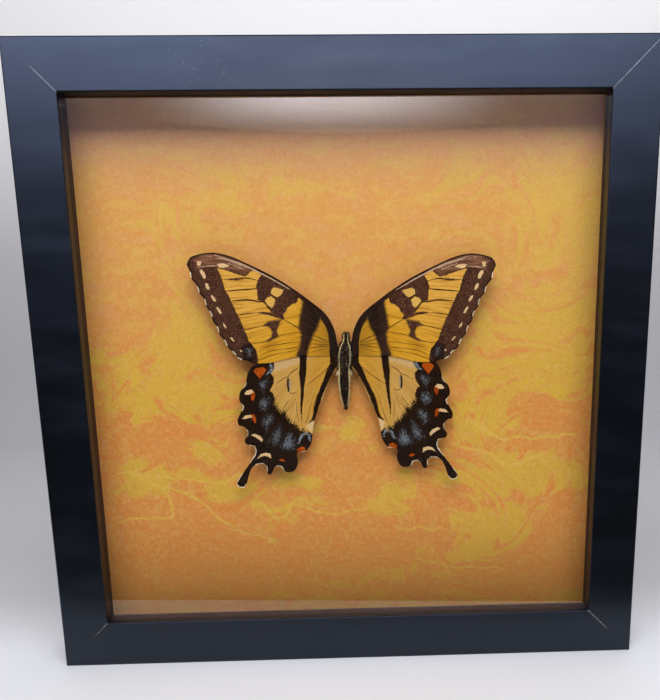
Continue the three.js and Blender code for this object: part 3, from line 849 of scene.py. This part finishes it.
def add_hair(points, faces, kinds, stripes):
    """The coat that lies back along the body, and the long hair over the wings' roots."""
    rng = np.random.default_rng(11)
    knots = np.array([(level, r) for r, level in BODY_PROFILE])
    level = rng.uniform(-15.6, 15.2, HAIRS)
    radius = np.interp(level, knots[:, 0], knots[:, 1])
    angle = rng.uniform(-0.68 * math.pi, 0.68 * math.pi, HAIRS)
    root = body_point(level, angle, radius - 0.05)
    normal = np.column_stack([np.sin(angle), -np.cos(angle), np.zeros(HAIRS)])
    thorax = np.clip(1 - np.abs(level - 6.5) / 6.5, 0, 1) ** 0.5
    head = np.clip((level - 11.5) / 2, 0, 1)
    length = (0.45 + 0.8 * thorax + 0.55 * head) * rng.uniform(0.6, 1.3, HAIRS)
    lift = 0.3 + 0.4 * thorax * rng.uniform(0.3, 1.0, HAIRS) + 0.3 * head
    along = np.where(level > 13.0, 1.0, -1.0)
    aim = np.column_stack([rng.normal(0, 0.25, HAIRS), rng.normal(0, 0.12, HAIRS), along])
    beads = np.where(angle > 0, 0.6 + 0.5 * np.sin(5.5 * level), 0.92)
    tint = stripe_at(level, angle) * (rng.random(HAIRS) < beads)
    tint = np.maximum(tint, rng.random(HAIRS) < 0.035)
    grow(points, faces, kinds, stripes, root, aim + normal * lift[:, None], normal, length,
         0.035 + 0.02 * rng.random(HAIRS), tint)

    # over the wings' roots: black behind the head and along the thorax, pale below the hindwings
    for pale in (False, True):
        count = 150 if pale else 1500
        side = np.where(rng.random(count) < 0.5, -1.0, 1.0)
        level = rng.normal(0.6, 0.5, count) if pale else rng.uniform(0.6, 12.2, count)
        angle = side * rng.uniform(1.0, 1.5, count)
        radius = np.interp(level, knots[:, 0], knots[:, 1])
        root = body_point(level, angle, radius - 0.1)
        down = rng.uniform(1.0, 2.2, count) if pale else rng.uniform(0.2, 1.3, count)
        aim = np.column_stack([side * rng.uniform(0.5, 1.0, count), rng.uniform(-0.25, 0.1, count), -down])
        normal = np.tile((0.0, -1.0, 0.0), (count, 1))
        length = rng.uniform(1.2, 3.0, count) if pale else rng.uniform(0.8, 2.3, count)
        grow(points, faces, kinds, stripes, root, aim, normal, length,
             0.04 + 0.02 * rng.random(count), np.full(count, float(pale)))


def body_skin():
    """Chitin under scales: near black and dull, with pale yellow scales in the side stripes."""
    material, tree, shader, place = finish_named("body scales")
    grain = cloud(tree, place, 0.25)
    stripe = node(tree, "Attribute", attribute_name="stripe").outputs["Fac"]
    broken = node(tree, "Math", (grain, 0.9, stripe), operation="MULTIPLY_ADD")
    black = coats(tree, "#180D06", ("#3A2516", grain, 0.48, 0.75, 0.6))
    colour = coats(tree, black, ("#CDB682", broken, 0.85, 1.15))
    surface(shader, Base_Color=colour, Roughness=0.65, IOR=1.5, Specular_IOR_Level=0.1)
    raised(tree, shader, grain, 0.08)
    return material


def eye_lens():
    """The eye's thousands of lenses: dark brown, with a dull shine."""
    material, tree, shader, place = finish_named("eye lenses")
    facets = node(tree, "TexVoronoi", {"Vector": place, "Scale": 7.0})
    colour = coats(tree, "#1A100D", ("#3A261E", facets, 0.2, 0.8, 0.5))
    surface(shader, Base_Color=colour, Roughness=0.35, IOR=1.5)
    raised(tree, shader, facets, 0.02)
    return material


def hair_finish():
    """Insect hair: black, with a grey-violet bloom on the back and pale yellow in the stripes."""
    material, tree, shader, place = finish_named("body hair")
    tint = node(tree, "Attribute", attribute_name="stripe").outputs["Fac"]
    level = node(tree, "SeparateXYZ", (place,)).outputs["Z"]
    bloom = eased(tree, (cloud(tree, place, 1.3, 1.0), 0.50, 0.64, 0.0, 0.75),
                  (off_from(tree, level, CENTRE + THORAX_LEVEL), 5, 3))
    colour = coats(tree, "#2A180C", ("#5E4E54", bloom), ("#FAE2AC", tint, 0.35, 0.6))
    surface(shader, Base_Color=colour, Roughness=0.6, IOR=1.55, Specular_IOR_Level=0.06)
    return material


# ---- Marbled paper ----
# Floated ink: pools of yellow on orange, combed and stirred. Places are mm from the frame's centre.

EDDIES = [
    (-52, 66, 24, 1.9), (-86, 34, 20, -1.3), (-60, 12, 26, 1.0), (-58, -46, 15, 2.3), (-30, -62, 18, -1.7),
    (4, -30, 12, 1.5), (22, -60, 14, -2.0), (52, -72, 20, 2.6), (74, -34, 18, -2.4), (88, -14, 14, 2.0),
    (60, 40, 34, 0.9), (92, 60, 22, -1.5), (10, 74, 22, 1.2), (-12, 34, 26, -0.8), (84, -92, 16, 1.4),
    (-80, -84, 22, -1.1),
]
# (x, y, half width, half height, strength): negative is orange ink that lies in the yellow
POOLS = [
    (-66, 59, 14, 9, 0.9), (-45, 65, 16, 9, 1), (-14, 71, 22, 4, 0.9), (-63, 84, 8, 4, 0.7),
    (-42, 77, 16, 3, 0.7), (-70, 46, 12, 6, 0.5), (-66, 13, 18, 19, 1), (-72, -9, 31, 10, 1),
    (-92, 2, 14, 10, 0.6), (-57, -33, 8, 5, 0.8), (-87, -45, 8, 6, 0.8), (-50, -50, 12, 6, 1),
    (-68, -45, 14, 2.5, 0.7), (-20, -46, 11, 4.5, 1), (-26, -58, 16, 2.5, 0.8), (-30, -64, 6, 3, 0.8),
    (4, -26, 5, 7, 1), (-12, -24, 7, 2.5, 0.7), (17, -56, 11, 4.5, 1), (25, -48, 4, 7, 0.8),
    (60, -18, 14, 9, 1), (78, -10, 30, 5, 0.8), (57, -27, 10, 6, 0.9), (78, -46, 33, 11, 1),
    (48, -47, 12, 5, 0.9), (61, -70, 15, 11, 1), (52, -79, 17, 5, 1), (88, 62, 28, 44, 0.8),
    (86, 16, 26, 26, 0.8), (48, 76, 18, 14, 0.5), (56, 10, 10, 26, 0.6), (20, -91, 30, 3, 0.4),
    (-5, -92, 7, 2, 0.5), (0, -106, 110, 5, 0.35),
    (82, -17, 13, 4, -0.9), (54, -35, 16, 3, -0.9), (80, -57, 26, 2, -0.7), (-50, 60, 6, 4, -0.7),
    (-84, 26, 10, 6, -0.6),
]
THREADS = [
    [(-96, -41), (-90, -42), (-80, -48), (-66, -53), (-53, -64), (-38, -72), (-32, -73)],
    [(-92, -43), (-80, -49), (-75, -60), (-86, -61), (-98, -63)],
    [(-90, -42), (-71, -44), (-56, -47), (-44, -43)],
    [(-37, -57), (-29, -64), (-24, -57), (-8, -62), (7, -60)],
    [(46, -33), (57, -36), (70, -41), (83, -38)],
    [(53, -22), (61, -28), (78, -30), (98, -29)],
    [(31, -84), (47, -87), (67, -89)],
    [(-35.5, -72.8), (-33.5, -74), (-32, -73), (-33.5, -72), (-35, -73)],
    [(22, -68), (26, -71), (32, -69), (37, -71), (40, -69)],
]
PAPER_MESH = 1.05  # spacing of the sheet's mesh points


def beside(points, path):
    """The signed distance of each point from a path, positive on its left, and the plain distance."""
    nearest = np.full(len(points), np.inf)
    signed = np.zeros(len(points))
    for a, b in zip(path, path[1:]):
        run = b - a
        t = np.clip((points - a) @ run / (run @ run), 0, 1)
        off = points - a - t[:, None] * run
        far = np.linalg.norm(off, axis=1)
        closer = far < nearest
        nearest = np.where(closer, far, nearest)
        signed = np.where(closer, far * np.sign(run[0] * off[:, 1] - run[1] * off[:, 0]), signed)
    return signed, nearest


def make_paper():
    """The sheet, a little cockled, with the stirred ink's flow held in its points."""
    xs = np.linspace(paper_low[0], paper_high[0], round((paper_high[0] - paper_low[0]) / PAPER_MESH) + 1)
    zs = np.linspace(paper_low[2], paper_high[2], round((paper_high[2] - paper_low[2]) / PAPER_MESH) + 1)
    columns, rows = len(xs), len(zs)
    flat = np.array([(x, z - CENTRE) for z in zs for x in xs])
    cockle = 0.05 + 0.025 * drift(flat, 60, 21) + 0.012 * drift(flat, 24, 22)
    front = np.column_stack([flat[:, 0], PAPER_FRONT + np.clip(cockle, 0, 0.12), flat[:, 1] + CENTRE])
    faces = [(r * columns + c, r * columns + c + 1, (r + 1) * columns + c + 1, (r + 1) * columns + c)
             for r in range(rows - 1) for c in range(columns - 1)]
    rim = [*range(columns), *(r * columns + columns - 1 for r in range(1, rows)),
           *((rows - 1) * columns + c for c in range(columns - 2, -1, -1)),
           *(r * columns for r in range(rows - 2, 0, -1))]
    back = front[rim].copy()
    back[:, 1] = paper_high[1]
    n = len(front)
    for i in range(len(rim)):
        j = (i + 1) % len(rim)
        faces.append((rim[j], rim[i], n + i, n + j))
    faces.append(tuple(range(n + len(rim) - 1, n - 1, -1)))

    stirred = flat.copy()
    for x, y, reach, turn in EDDIES:
        away = stirred - (x, y)
        angle = turn * np.exp(-np.sum(away ** 2, axis=1) / reach ** 2)
        c, s = np.cos(angle), np.sin(angle)
        stirred = np.column_stack([x + c * away[:, 0] - s * away[:, 1], y + s * away[:, 0] + c * away[:, 1]])
    combed = stirred + np.column_stack([drift(stirred, 46, 31), drift(stirred, 46, 32)]) * 7
    combed += np.column_stack([drift(combed, 15, 33), drift(combed, 15, 34)]) * 2.2

    spread = flat + np.column_stack([drift(flat, 30, 35), drift(flat, 30, 36)]) * 4
    spread += np.column_stack([drift(spread, 9, 37), drift(spread, 9, 38)]) * 1.2
    yellow = np.full(len(flat), -0.8)
    for x, y, width, height, strength in POOLS:
        pool = 1 - np.hypot((spread[:, 0] - x) / width, (spread[:, 1] - y) / height)
        if strength > 0:
            yellow = np.maximum(yellow, np.minimum(pool, 0.6) * strength)
        else:
            yellow = np.minimum(yellow, np.maximum(-0.8, 0.25 + pool * strength * 2))
    wavy = flat + np.column_stack([drift(flat, 12, 39), drift(flat, 12, 40)]) * 1.2
    thread = np.full(len(flat), 3.0)
    thread_near = np.zeros(len(flat))
    for path in THREADS:
        signed, far = beside(wavy, smooth_path(path, 1.0))
        thread = np.where(far < np.abs(thread), np.clip(signed, -3, 3), thread)
        thread_near = np.maximum(thread_near, np.clip(1 - far / 2.5, 0, 1))
    fields = {"stirred": np.column_stack([combed, np.zeros(len(flat))]), "yellow": yellow,
              "thread": thread, "thread_near": thread_near}
    fields = {k: np.concatenate([v, v[rim]]) for k, v in fields.items()}
    made = piece("marbled_paper_sheet", np.vstack([front, back]), faces, [marbled_paper()], fields=fields)
    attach(made, "root")
    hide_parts("marbled_paper")


def stirred_by(tree, place, size, reach):
    """The place, pushed about by swirls of that size and that reach in mm."""
    where = node(tree, "VectorMath", {0: place, "Scale": 1 / size}, operation="SCALE")
    push = node(tree, "TexNoise", {"Vector": where, "Scale": 1.0, "Detail": 2.0}).outputs["Color"]
    push = node(tree, "VectorMath", (push, (0.5, 0.5, 0.5)), operation="SUBTRACT")
    return node(tree, "VectorMath", (push, (reach, reach * 0.6, 0), place), operation="MULTIPLY_ADD")


def marbled_paper():
    """Cotton paper marbled with floated ink: matt, with soft pools, fine drawn-out veins and a
    faint mottle where the ink took to the fibres."""
    material, tree, shader, place = finish_named("marbled paper")
    stirred = node(tree, "Attribute", attribute_name="stirred").outputs["Vector"]
    yellow_ink, beside_thread, near_thread = (node(tree, "Attribute", attribute_name=layer).outputs["Fac"]
                                              for layer in ("yellow", "thread", "thread_near"))
    height = node(tree, "SeparateXYZ", (place,)).outputs["Z"]
    above = node(tree, "Math", (height, CENTRE), operation="SUBTRACT")
    upper = eased(tree, (above, -30, 40))
    combed = stirred_by(tree, stirred_by(tree, stirred, 20, 24), 7, 11)
    combed = stirred_by(tree, combed, 2.6, 4.0)
    swirls = cloud(tree, combed, 7, 3.0, (2.2, 0.8, 1), 0.6)
    strands = cloud(tree, combed, 2.6, 2.0, (5, 0.7, 1), 0.5)
    mottle = cloud(tree, place, 2.2, 4.0)
    fibres = cloud(tree, place, 0.55, 3.0)

    # Pools of yellow ink, and the pale rim where two inks meet.
    pool = swayed(tree, swayed(tree, yellow_ink, swirls, 2.5), strands, 1.0)
    inked = eased(tree, (pool, -0.04, eased(tree, (above, -25, 45, 0.12, 0.6))))
    contours = node(tree, "Math", (eased(tree, pool, 4.0), 1.0), operation="PINGPONG")
    rim = eased(tree, (contours, 0.70, 0.98), (off_from(tree, pool, 0.0), 1.1, 0.3),
                (cloud(tree, place, 30, 1.0), 0.38, 0.60, 0.2, 1.0), 0.65)

    # Ink drawn out into threads, and hairlines along the contours of two more clouds.
    thread = off_from(tree, swayed(tree, beside_thread, strands, 1.6), 0.0)
    thread = eased(tree, (thread, 0.85, 0.25), (near_thread, 0.1, 0.6), (mottle, 0.3, 0.6, 0.45, 1.0))
    bends = cloud(tree, combed, 11, 2.0, (2.4, 0.9, 1), 1.0)
    fine_bends = cloud(tree, combed, 5.5, 1.0, (2.4, 0.9, 1), 1.0)
    fine_lines = eased(tree, (off_from(tree, fine_bends, 0.47), 0.03, 0.006),
                       (cloud(tree, place, 22, 1.0), 0.44, 0.60))
    hairlines = eased(tree, (off_from(tree, bends, 0.5), 0.022, 0.004))
    hairlines = node(tree, "Math", (hairlines, fine_lines), operation="MAXIMUM")
    hairlines = eased(tree, hairlines, (above, 40, -30, 0.15, 0.4))

    blush = cloud(tree, stirred_by(tree, place, 16, 10), 8, 5.0, (1.6, 1, 0.8), 0.3)
    orange = coats(tree, "#DF8C42",
                   ("#DB954C", swirls, 0.35, 0.65, 0.6),
                   ("#D68848", strands, 0.45, 0.75, 0.4),
                   ("#DF9A6A", eased(tree, (blush, 0.47, 0.66, 0.0, 0.5), upper)),
                   ("#DDB052", eased(tree, (blush, 0.52, 0.34, 0.0, 0.55), upper)))
    yellow = coats(tree, "#DBAC3F",
                   ("#DCA948", strands, 0.4, 0.7, 0.7),
                   ("#D6AE36", swirls, 0.5, 0.75, 0.5))
    line = coats(tree, "#DDB152", ("#D6974A", inked))
    colour = coats(tree, orange,
                   (yellow, eased(tree, inked, (above, -25, 45, 1.0, 0.9))),
                   (line, rim),
                   (line, hairlines),
                   ("#DEB24C", thread),
                   ("#E4AE70", mottle, 0.46, 0.68, 0.34),
                   # painted light and painted reflection: the sheet paler towards the top, and a pinkish grey
                   # veil along its top edge
                   ("#DFB26A", above, -15, 60, 0.32),
                   ("#D3A287", above, 60, 105, 0.5),
                   # darker and browner towards the bottom: browner ink there, and painted shade
                   ("#98652D", above, -55, -102, 0.6))
    shade = eased(tree, (fibres, 0.25, 0.8, 0.91, 1.06))
    colour = node(tree, "VectorMath", {0: colour, "Scale": shade}, operation="SCALE")
    surface(shader, Base_Color=colour, Roughness=0.85, IOR=1.4, Specular_IOR_Level=0.3)
    raised(tree, shader, fibres, 0.004)
    return material


# ---- Frame, glass and back ----

UPPER_CRACKS = (9.5, 19.5)  # how far the open mitres run out, left and right
LOWER_CRACKS = (6.0, 9.0)
SCUFF_MIDDLE = -48.0  # across the top rail


def black_foil():
    """Satin black foil over the moulding: a faint orange peel, scuffs, hairlines of bare core where
    the mitres have opened, and bare fibreboard on the back."""
    material, tree, shader, place = finish_named("satin black foil")
    where = node(tree, "SeparateXYZ", (place,))
    x, y, z = (where.outputs[axis] for axis in "XYZ")
    above = node(tree, "Math", (z, CENTRE), operation="SUBTRACT")
    from_side = node(tree, "Math", (OUTER_HALF_WIDTH, off_from(tree, x, 0.0)), operation="SUBTRACT")
    from_end = node(tree, "Math", (OUTER_HALF_HEIGHT, off_from(tree, above, 0.0)), operation="SUBTRACT")
    off_mitre = off_from(tree, from_side, from_end)
    ragged = node(tree, "Math", (cloud(tree, place, 0.9), -0.35, off_mitre), operation="MULTIPLY_ADD")
    # How far each open joint runs out from the frame's inner corner.
    right = eased(tree, (x, -1.0, 1.0))
    upper = node(tree, "Mix", {0: right, 2: UPPER_CRACKS[0], 3: UPPER_CRACKS[1]})
    lower = node(tree, "Mix", {0: right, 2: LOWER_CRACKS[0], 3: LOWER_CRACKS[1]})
    length = node(tree, "Mix", {0: eased(tree, (above, -1.0, 1.0)), 2: lower, 3: upper})
    outward = node(tree, "Math", (FACE_WIDTH, from_side), operation="SUBTRACT")
    still_open = node(tree, "Math", (length, outward), operation="SUBTRACT")
    on_face = eased(tree, (y, FRAME_FRONT + 0.7, FRAME_FRONT + 0.4))
    crack = eased(tree, (ragged, 0.0, -0.10), (still_open, -0.5, 2.5), on_face)
    specks = eased(tree, (cloud(tree, place, 0.8, 0.0), 0.77, 0.82, 0.0, 0.22),
                   (off_from(tree, x, SCUFF_MIDDLE), 16, 9), (above, 103, 107), on_face)
    rubbed = cloud(tree, place, 9, 4.0, (3, 1, 1))
    core = coats(tree, "#8B6B4A",
                 ("#6E5237", cloud(tree, place, 1.1, 4.0), 0.42, 0.68, 0.65),
                 ("#9C7B57", cloud(tree, place, 22), 0.35, 0.65, 0.35))
    colour = coats(tree, "#07080A",
                   ("#10121A", rubbed, 0.4, 0.75, 0.5),
                   ("#74777E", specks),
                   ("#8E8A84", crack),
                   (core, y, RAIL_BACK - 0.12, RAIL_BACK - 0.05))
    dull = eased(tree, (rubbed, 0.3, 0.8, 0.29, 0.37))
    surface(shader, Base_Color=colour, Roughness=dull, IOR=1.55, Specular_Tint=(0.62, 0.76, 1.0, 1))
    raised(tree, shader, cloud(tree, place, 0.45), 0.008)
    return material


def float_glass():
    """Float glass: clear, and only its front face mirrors the room a little."""
    material, tree, shader, place = finish_named("float glass")
    tree.nodes.remove(shader)
    clear = node(tree, "BsdfTransparent", {"Color": (0.97, 0.985, 0.98, 1)})
    gloss = node(tree, "BsdfGlossy", {"Color": (1, 1, 1, 1), "Roughness": 0.02})
    mirrors = node(tree, "Fresnel", {"IOR": 1.52})
    behind = node(tree, "NewGeometry").outputs["Backfacing"]
    front = node(tree, "Math", (1.0, behind), operation="SUBTRACT")
    smear = eased(tree, (cloud(tree, place, 30, 3.0), 0.3, 0.7, 1.4, 1.6))
    mirrors = eased(tree, mirrors, front)
    share = node(tree, "Math", (mirrors, smear), operation="MULTIPLY", use_clamp=True)
    finish_with(tree, node(tree, "MixShader", (share, clear, gloss)))
    return material


def spacer_board():
    """Dark brown pulp board on edge: dull, with long fibres."""
    material, tree, shader, place = finish_named("spacer board")
    fibres = cloud(tree, place, 0.5, 3.0, (6, 1, 6))
    colour = coats(tree, "#4A362B", ("#33241D", fibres, 0.35, 0.7))
    surface(shader, Base_Color=colour, Roughness=0.8, IOR=1.45)
    raised(tree, shader, fibres, 0.04)
    return material


def mount_board():
    """Off-white mount board: smooth paper over a pulp core."""
    material, tree, shader, place = finish_named("mount board")
    pulp = cloud(tree, place, 0.6, 3.0)
    colour = coats(tree, "#E6E1D6", ("#D3CCBC", pulp, 0.4, 0.8, 0.4))
    surface(shader, Base_Color=colour, Roughness=0.88, IOR=1.45)
    return material


def hardboard():
    """Pressed hardboard: mid-brown wood fibre with dark flecks and a dull smooth face."""
    material, tree, shader, place = finish_named("hardboard")
    flecks = cloud(tree, place, 0.9, 3.0, (1, 1, 2.5))
    stain = cloud(tree, place, 40, 3.0)
    colour = coats(tree, "#8A6441",
                   ("#795536", stain, 0.35, 0.7, 0.5),
                   ("#5C3F28", flecks, 0.55, 0.75, 0.7))
    surface(shader, Base_Color=colour, Roughness=0.62, IOR=1.5)
    raised(tree, shader, flecks, 0.04)
    return material


def zinc_steel():
    """Zinc-plated steel: grey metal with a faint rolled grain and duller blooms."""
    material, tree, shader, place = finish_named("zinc-plated steel")
    grain = cloud(tree, place, 0.25, 2.0, (8, 1, 1))
    bloom = cloud(tree, place, 3.0, 2.0)
    colour = coats(tree, "#B9BCBF", ("#94989C", bloom, 0.4, 0.75, 0.6))
    dull = eased(tree, (grain, 0.3, 0.7, 0.28, 0.42))
    surface(shader, Base_Color=colour, Metallic=1.0, Roughness=dull)
    raised(tree, shader, grain, 0.01)
    return material


def finish_cad_pieces():
    """Gives each CAD piece that shows its finish, and the rails a hair's width of edge rounding."""
    steel = zinc_steel()
    finishes = {"frame_rail": black_foil(), "glass": float_glass(), "spacer": spacer_board(),
                "mount_board": mount_board(), "back_board": hardboard(), "back_point": steel,
                "hanger": steel}
    for name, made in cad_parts.items():
        for start, material in finishes.items():
            if name.startswith(start):
                made.data.materials.clear()
                made.data.materials.append(material)
        if name.startswith("frame_rail"):
            bevel = made.modifiers.new("eased edges", "BEVEL")
            bevel.width = 0.18 * MM
            bevel.segments = 2
            bevel.limit_method = "ANGLE"
            bevel.angle_limit = math.radians(40)


# ---- Room, lights and camera ----

def plain(name, colour, roughness=0.9):
    """A dull finish of one colour, for what stands around the box."""
    material, _, shader, _ = finish_named(name)
    surface(shader, Base_Color=paint(colour), Roughness=roughness)
    return material


def make_room():
    """A pale floor that curves up into a backdrop behind the box, and a black card over it."""
    width, front, back, rise, bend = 12000.0, -6000.0, 800.0, 1800.0, 250.0
    profile = [(front, 0.0), (back - bend, 0.0)]
    profile += [(back - bend + bend * math.sin(a), bend * (1 - math.cos(a)))
                for a in np.linspace(0.1, math.pi / 2, 14)]
    profile.append((back, rise))
    points = [(side * width / 2, y, z) for y, z in profile for side in (-1, 1)]
    faces = [(2 * i, 2 * i + 1, 2 * i + 3, 2 * i + 2) for i in range(len(profile) - 1)]
    material, tree, shader, place = finish_named("backdrop with painted shade and light")
    where = node(tree, "SeparateXYZ", (place,))
    x, y, z = (where.outputs[axis] for axis in "XYZ")
    # painted shade: the floor darker behind the box; painted light: the backdrop paler towards its top
    colour = coats(tree, "#D2D4DA", ("#ADADB2", y, -40, 70), ("#F2F2F4", z, 40, 560))
    surface(shader, Base_Color=colour, Roughness=0.9)
    # It fades into the pale room to the sides and in front, so it has no end in any view.
    aside = eased(tree, (off_from(tree, x, 0.0), 620, 1150))
    fade = node(tree, "Math", (aside, eased(tree, (y, -240, -760))), operation="MAXIMUM")
    finish_with(tree, node(tree, "MixShader", (fade, shader, node(tree, "BsdfTransparent"))))
    piece("studio_floor", points, faces, [material])
    # Only mirrors see the card. It keeps the floor out of the glass and the rails, but for its
    # nearest strip.
    sheet = [(-3000, -3000, 0.5), (3000, -3000, 0.5), (3000, -44, 0.5), (300, -44, 0.5), (-300, -86, 0.5),
             (-3000, -86, 0.5)]
    card = piece("black_card", sheet, [range(len(sheet))], [plain("black card", "#0A0A0A")])
    for ray in ("camera", "diffuse", "shadow", "transmission"):
        setattr(card, "visible_" + ray, False)


def soft_light(name, place, aim, size, power, colour=(1, 1, 1)):
    """A rectangular lamp that neither the camera nor a mirror sees."""
    lamp = bpy.data.lights.new(name, "AREA")
    lamp.shape = "RECTANGLE"
    lamp.size, lamp.size_y = size
    lamp.energy = power
    lamp.color = colour
    made = bpy.data.objects.new(name, lamp)
    made.location = place
    made.rotation_euler = (Vector(aim) - Vector(place)).to_track_quat("-Z", "Y").to_euler()
    made.visible_camera = False
    made.visible_glossy = False
    bpy.context.scene.collection.objects.link(made)


def glowing(name):
    """A new material without light, its node tree, and how far right and up it is in the room."""
    material = bpy.data.materials.new(name)
    material.use_nodes = True
    tree = material.node_tree
    tree.nodes.remove(tree.nodes["Principled BSDF"])
    place = node(tree, "SeparateXYZ", (node(tree, "NewGeometry").outputs["Position"],))
    return material, tree, place.outputs["X"], place.outputs["Z"]


def reflector():
    """A bright card above and in front, whose curved lower edge shows in the top of the glass, and
    the dim wall under it. The materials' places are metres, and the mesh's are mm."""
    lit, tree, x, z = glowing("lit card")
    aside = off_from(tree, x, -0.025)
    # a warm lamp in the middle, just over the edge, and a cool window that is brighter at its sides
    lamp = eased(tree, (aside, 0.02, 0.33, 1.0, 0.0), (z, 0.45, 0.515, 0.10, 1.0),
                 (z, 0.53, 0.62, 7.4, 0.0))
    window = eased(tree, (z, 0.495, 0.60, 0.05, 1.0), (aside, 0.10, 0.36, 4.4, 9.0),
                   (aside, 0.36, 0.50, 1.0, 0.72), (x, 0.33, 0.47, 1.0, 0.8))
    lamp = node(tree, "Emission", ((1, 0.96, 1, 1), lamp))
    window = node(tree, "Emission", ((0.75, 0.79, 1, 1), window))
    finish_with(tree, node(tree, "AddShader", (lamp, window)))
    wall, tree, x, z = glowing("dim wall")
    dim = eased(tree, (z, 0.375, 0.455, 0.0, 0.45))
    finish_with(tree, node(tree, "Emission", ((0.45, 0.48, 1, 1), dim)))

    ahead, top, wall_foot, ends_foot = -900, 1050, 370, 548
    left, right = -490, 425  # of the curved part of the edge
    across = np.concatenate([[-1100, left - 1], np.linspace(left, right, 33), [right + 1, 1000]])
    curved = (across >= left) & (across <= right)
    lower = np.where(curved, 454 + 42 * (across / 430) ** 2, ends_foot)
    points = [(x, ahead, z) for x, z in zip(across, lower)] + [(x, ahead, top) for x in across]
    columns = len(across)
    faces = [(i + 1, i, columns + i, columns + i + 1) for i in range(columns - 1)]
    kinds = [0] * len(faces)
    # the wall hangs under the curved part, from the third point of the edge on
    start = len(points)
    points += [(x, ahead, wall_foot) for x in across[curved]]
    faces += [(3 + i, 2 + i, start + i, start + i + 1) for i in range(np.sum(curved) - 1)]
    kinds += [1] * (len(faces) - len(kinds))
    card = piece("reflector_card", points, faces, [lit, wall], kinds)
    card.visible_camera = False
    card.visible_diffuse = False


def make_light():
    """A dim room that is darker to mirrors and pale to the camera, and three soft lamps."""
    world = bpy.data.worlds.new("soft room")
    world.use_nodes = True
    tree = world.node_tree
    ray = node(tree, "LightPath")
    room = coats(tree, (0.16, 0.16, 0.17, 1),
                 ((0.012, 0.014, 0.02, 1), ray.outputs["Is Glossy Ray"]),
                 ("#DDDDE0", ray.outputs["Is Camera Ray"]))
    feed(tree.nodes["Background"].inputs["Color"], room)
    bpy.context.scene.world = world
    reflector()
    soft_light("key", (0.0, -0.38, 0.64), (0.0, 0, 0.13), (0.75, 0.36), 6.8, (1, 0.985, 0.97))
    soft_light("backdrop wash", (0, 0.30, 1.15), (0, 0.8, 0.78), (1.8, 0.3), 7.2)
    soft_light("rear fill", (0.5, 0.7, 0.9), (0, 0, 0.1), (0.6, 0.6), 1.5, (0.97, 0.98, 1))


def make_camera():
    """The camera stands just in front of the box and looks a little down on it."""
    place = Vector((3.970, -272.04, 139.69)) * MM
    axes = Matrix(((0.99948, 0.02051, -0.02471), (-0.02800, 0.17978, -0.98331),
                   (-0.01573, 0.98349, 0.18026)))
    camera = bpy.data.cameras.new("camera")
    image_width, image_height, focal = 660, 700, 650  # pixels
    centre_x, centre_y = 372, 445  # where the camera's axis meets the image
    camera.sensor_width = 36
    camera.lens = camera.sensor_width * focal / image_height
    camera.shift_x = (image_width / 2 - centre_x) / image_height
    camera.shift_y = (centre_y - image_height / 2) / image_height
    camera.clip_start = 0.01
    made = bpy.data.objects.new("camera", camera)
    made.matrix_world = Matrix.Translation(place) @ axes.to_4x4()
    bpy.context.scene.collection.objects.link(made)
    bpy.context.scene.camera = made
    bpy.context.scene.view_settings.view_transform = "Standard"


make_camera()
make_room()
make_light()
finish_cad_pieces()
make_paper()
make_wings()
make_body(body_skin(), eye_lens(), hair_finish())
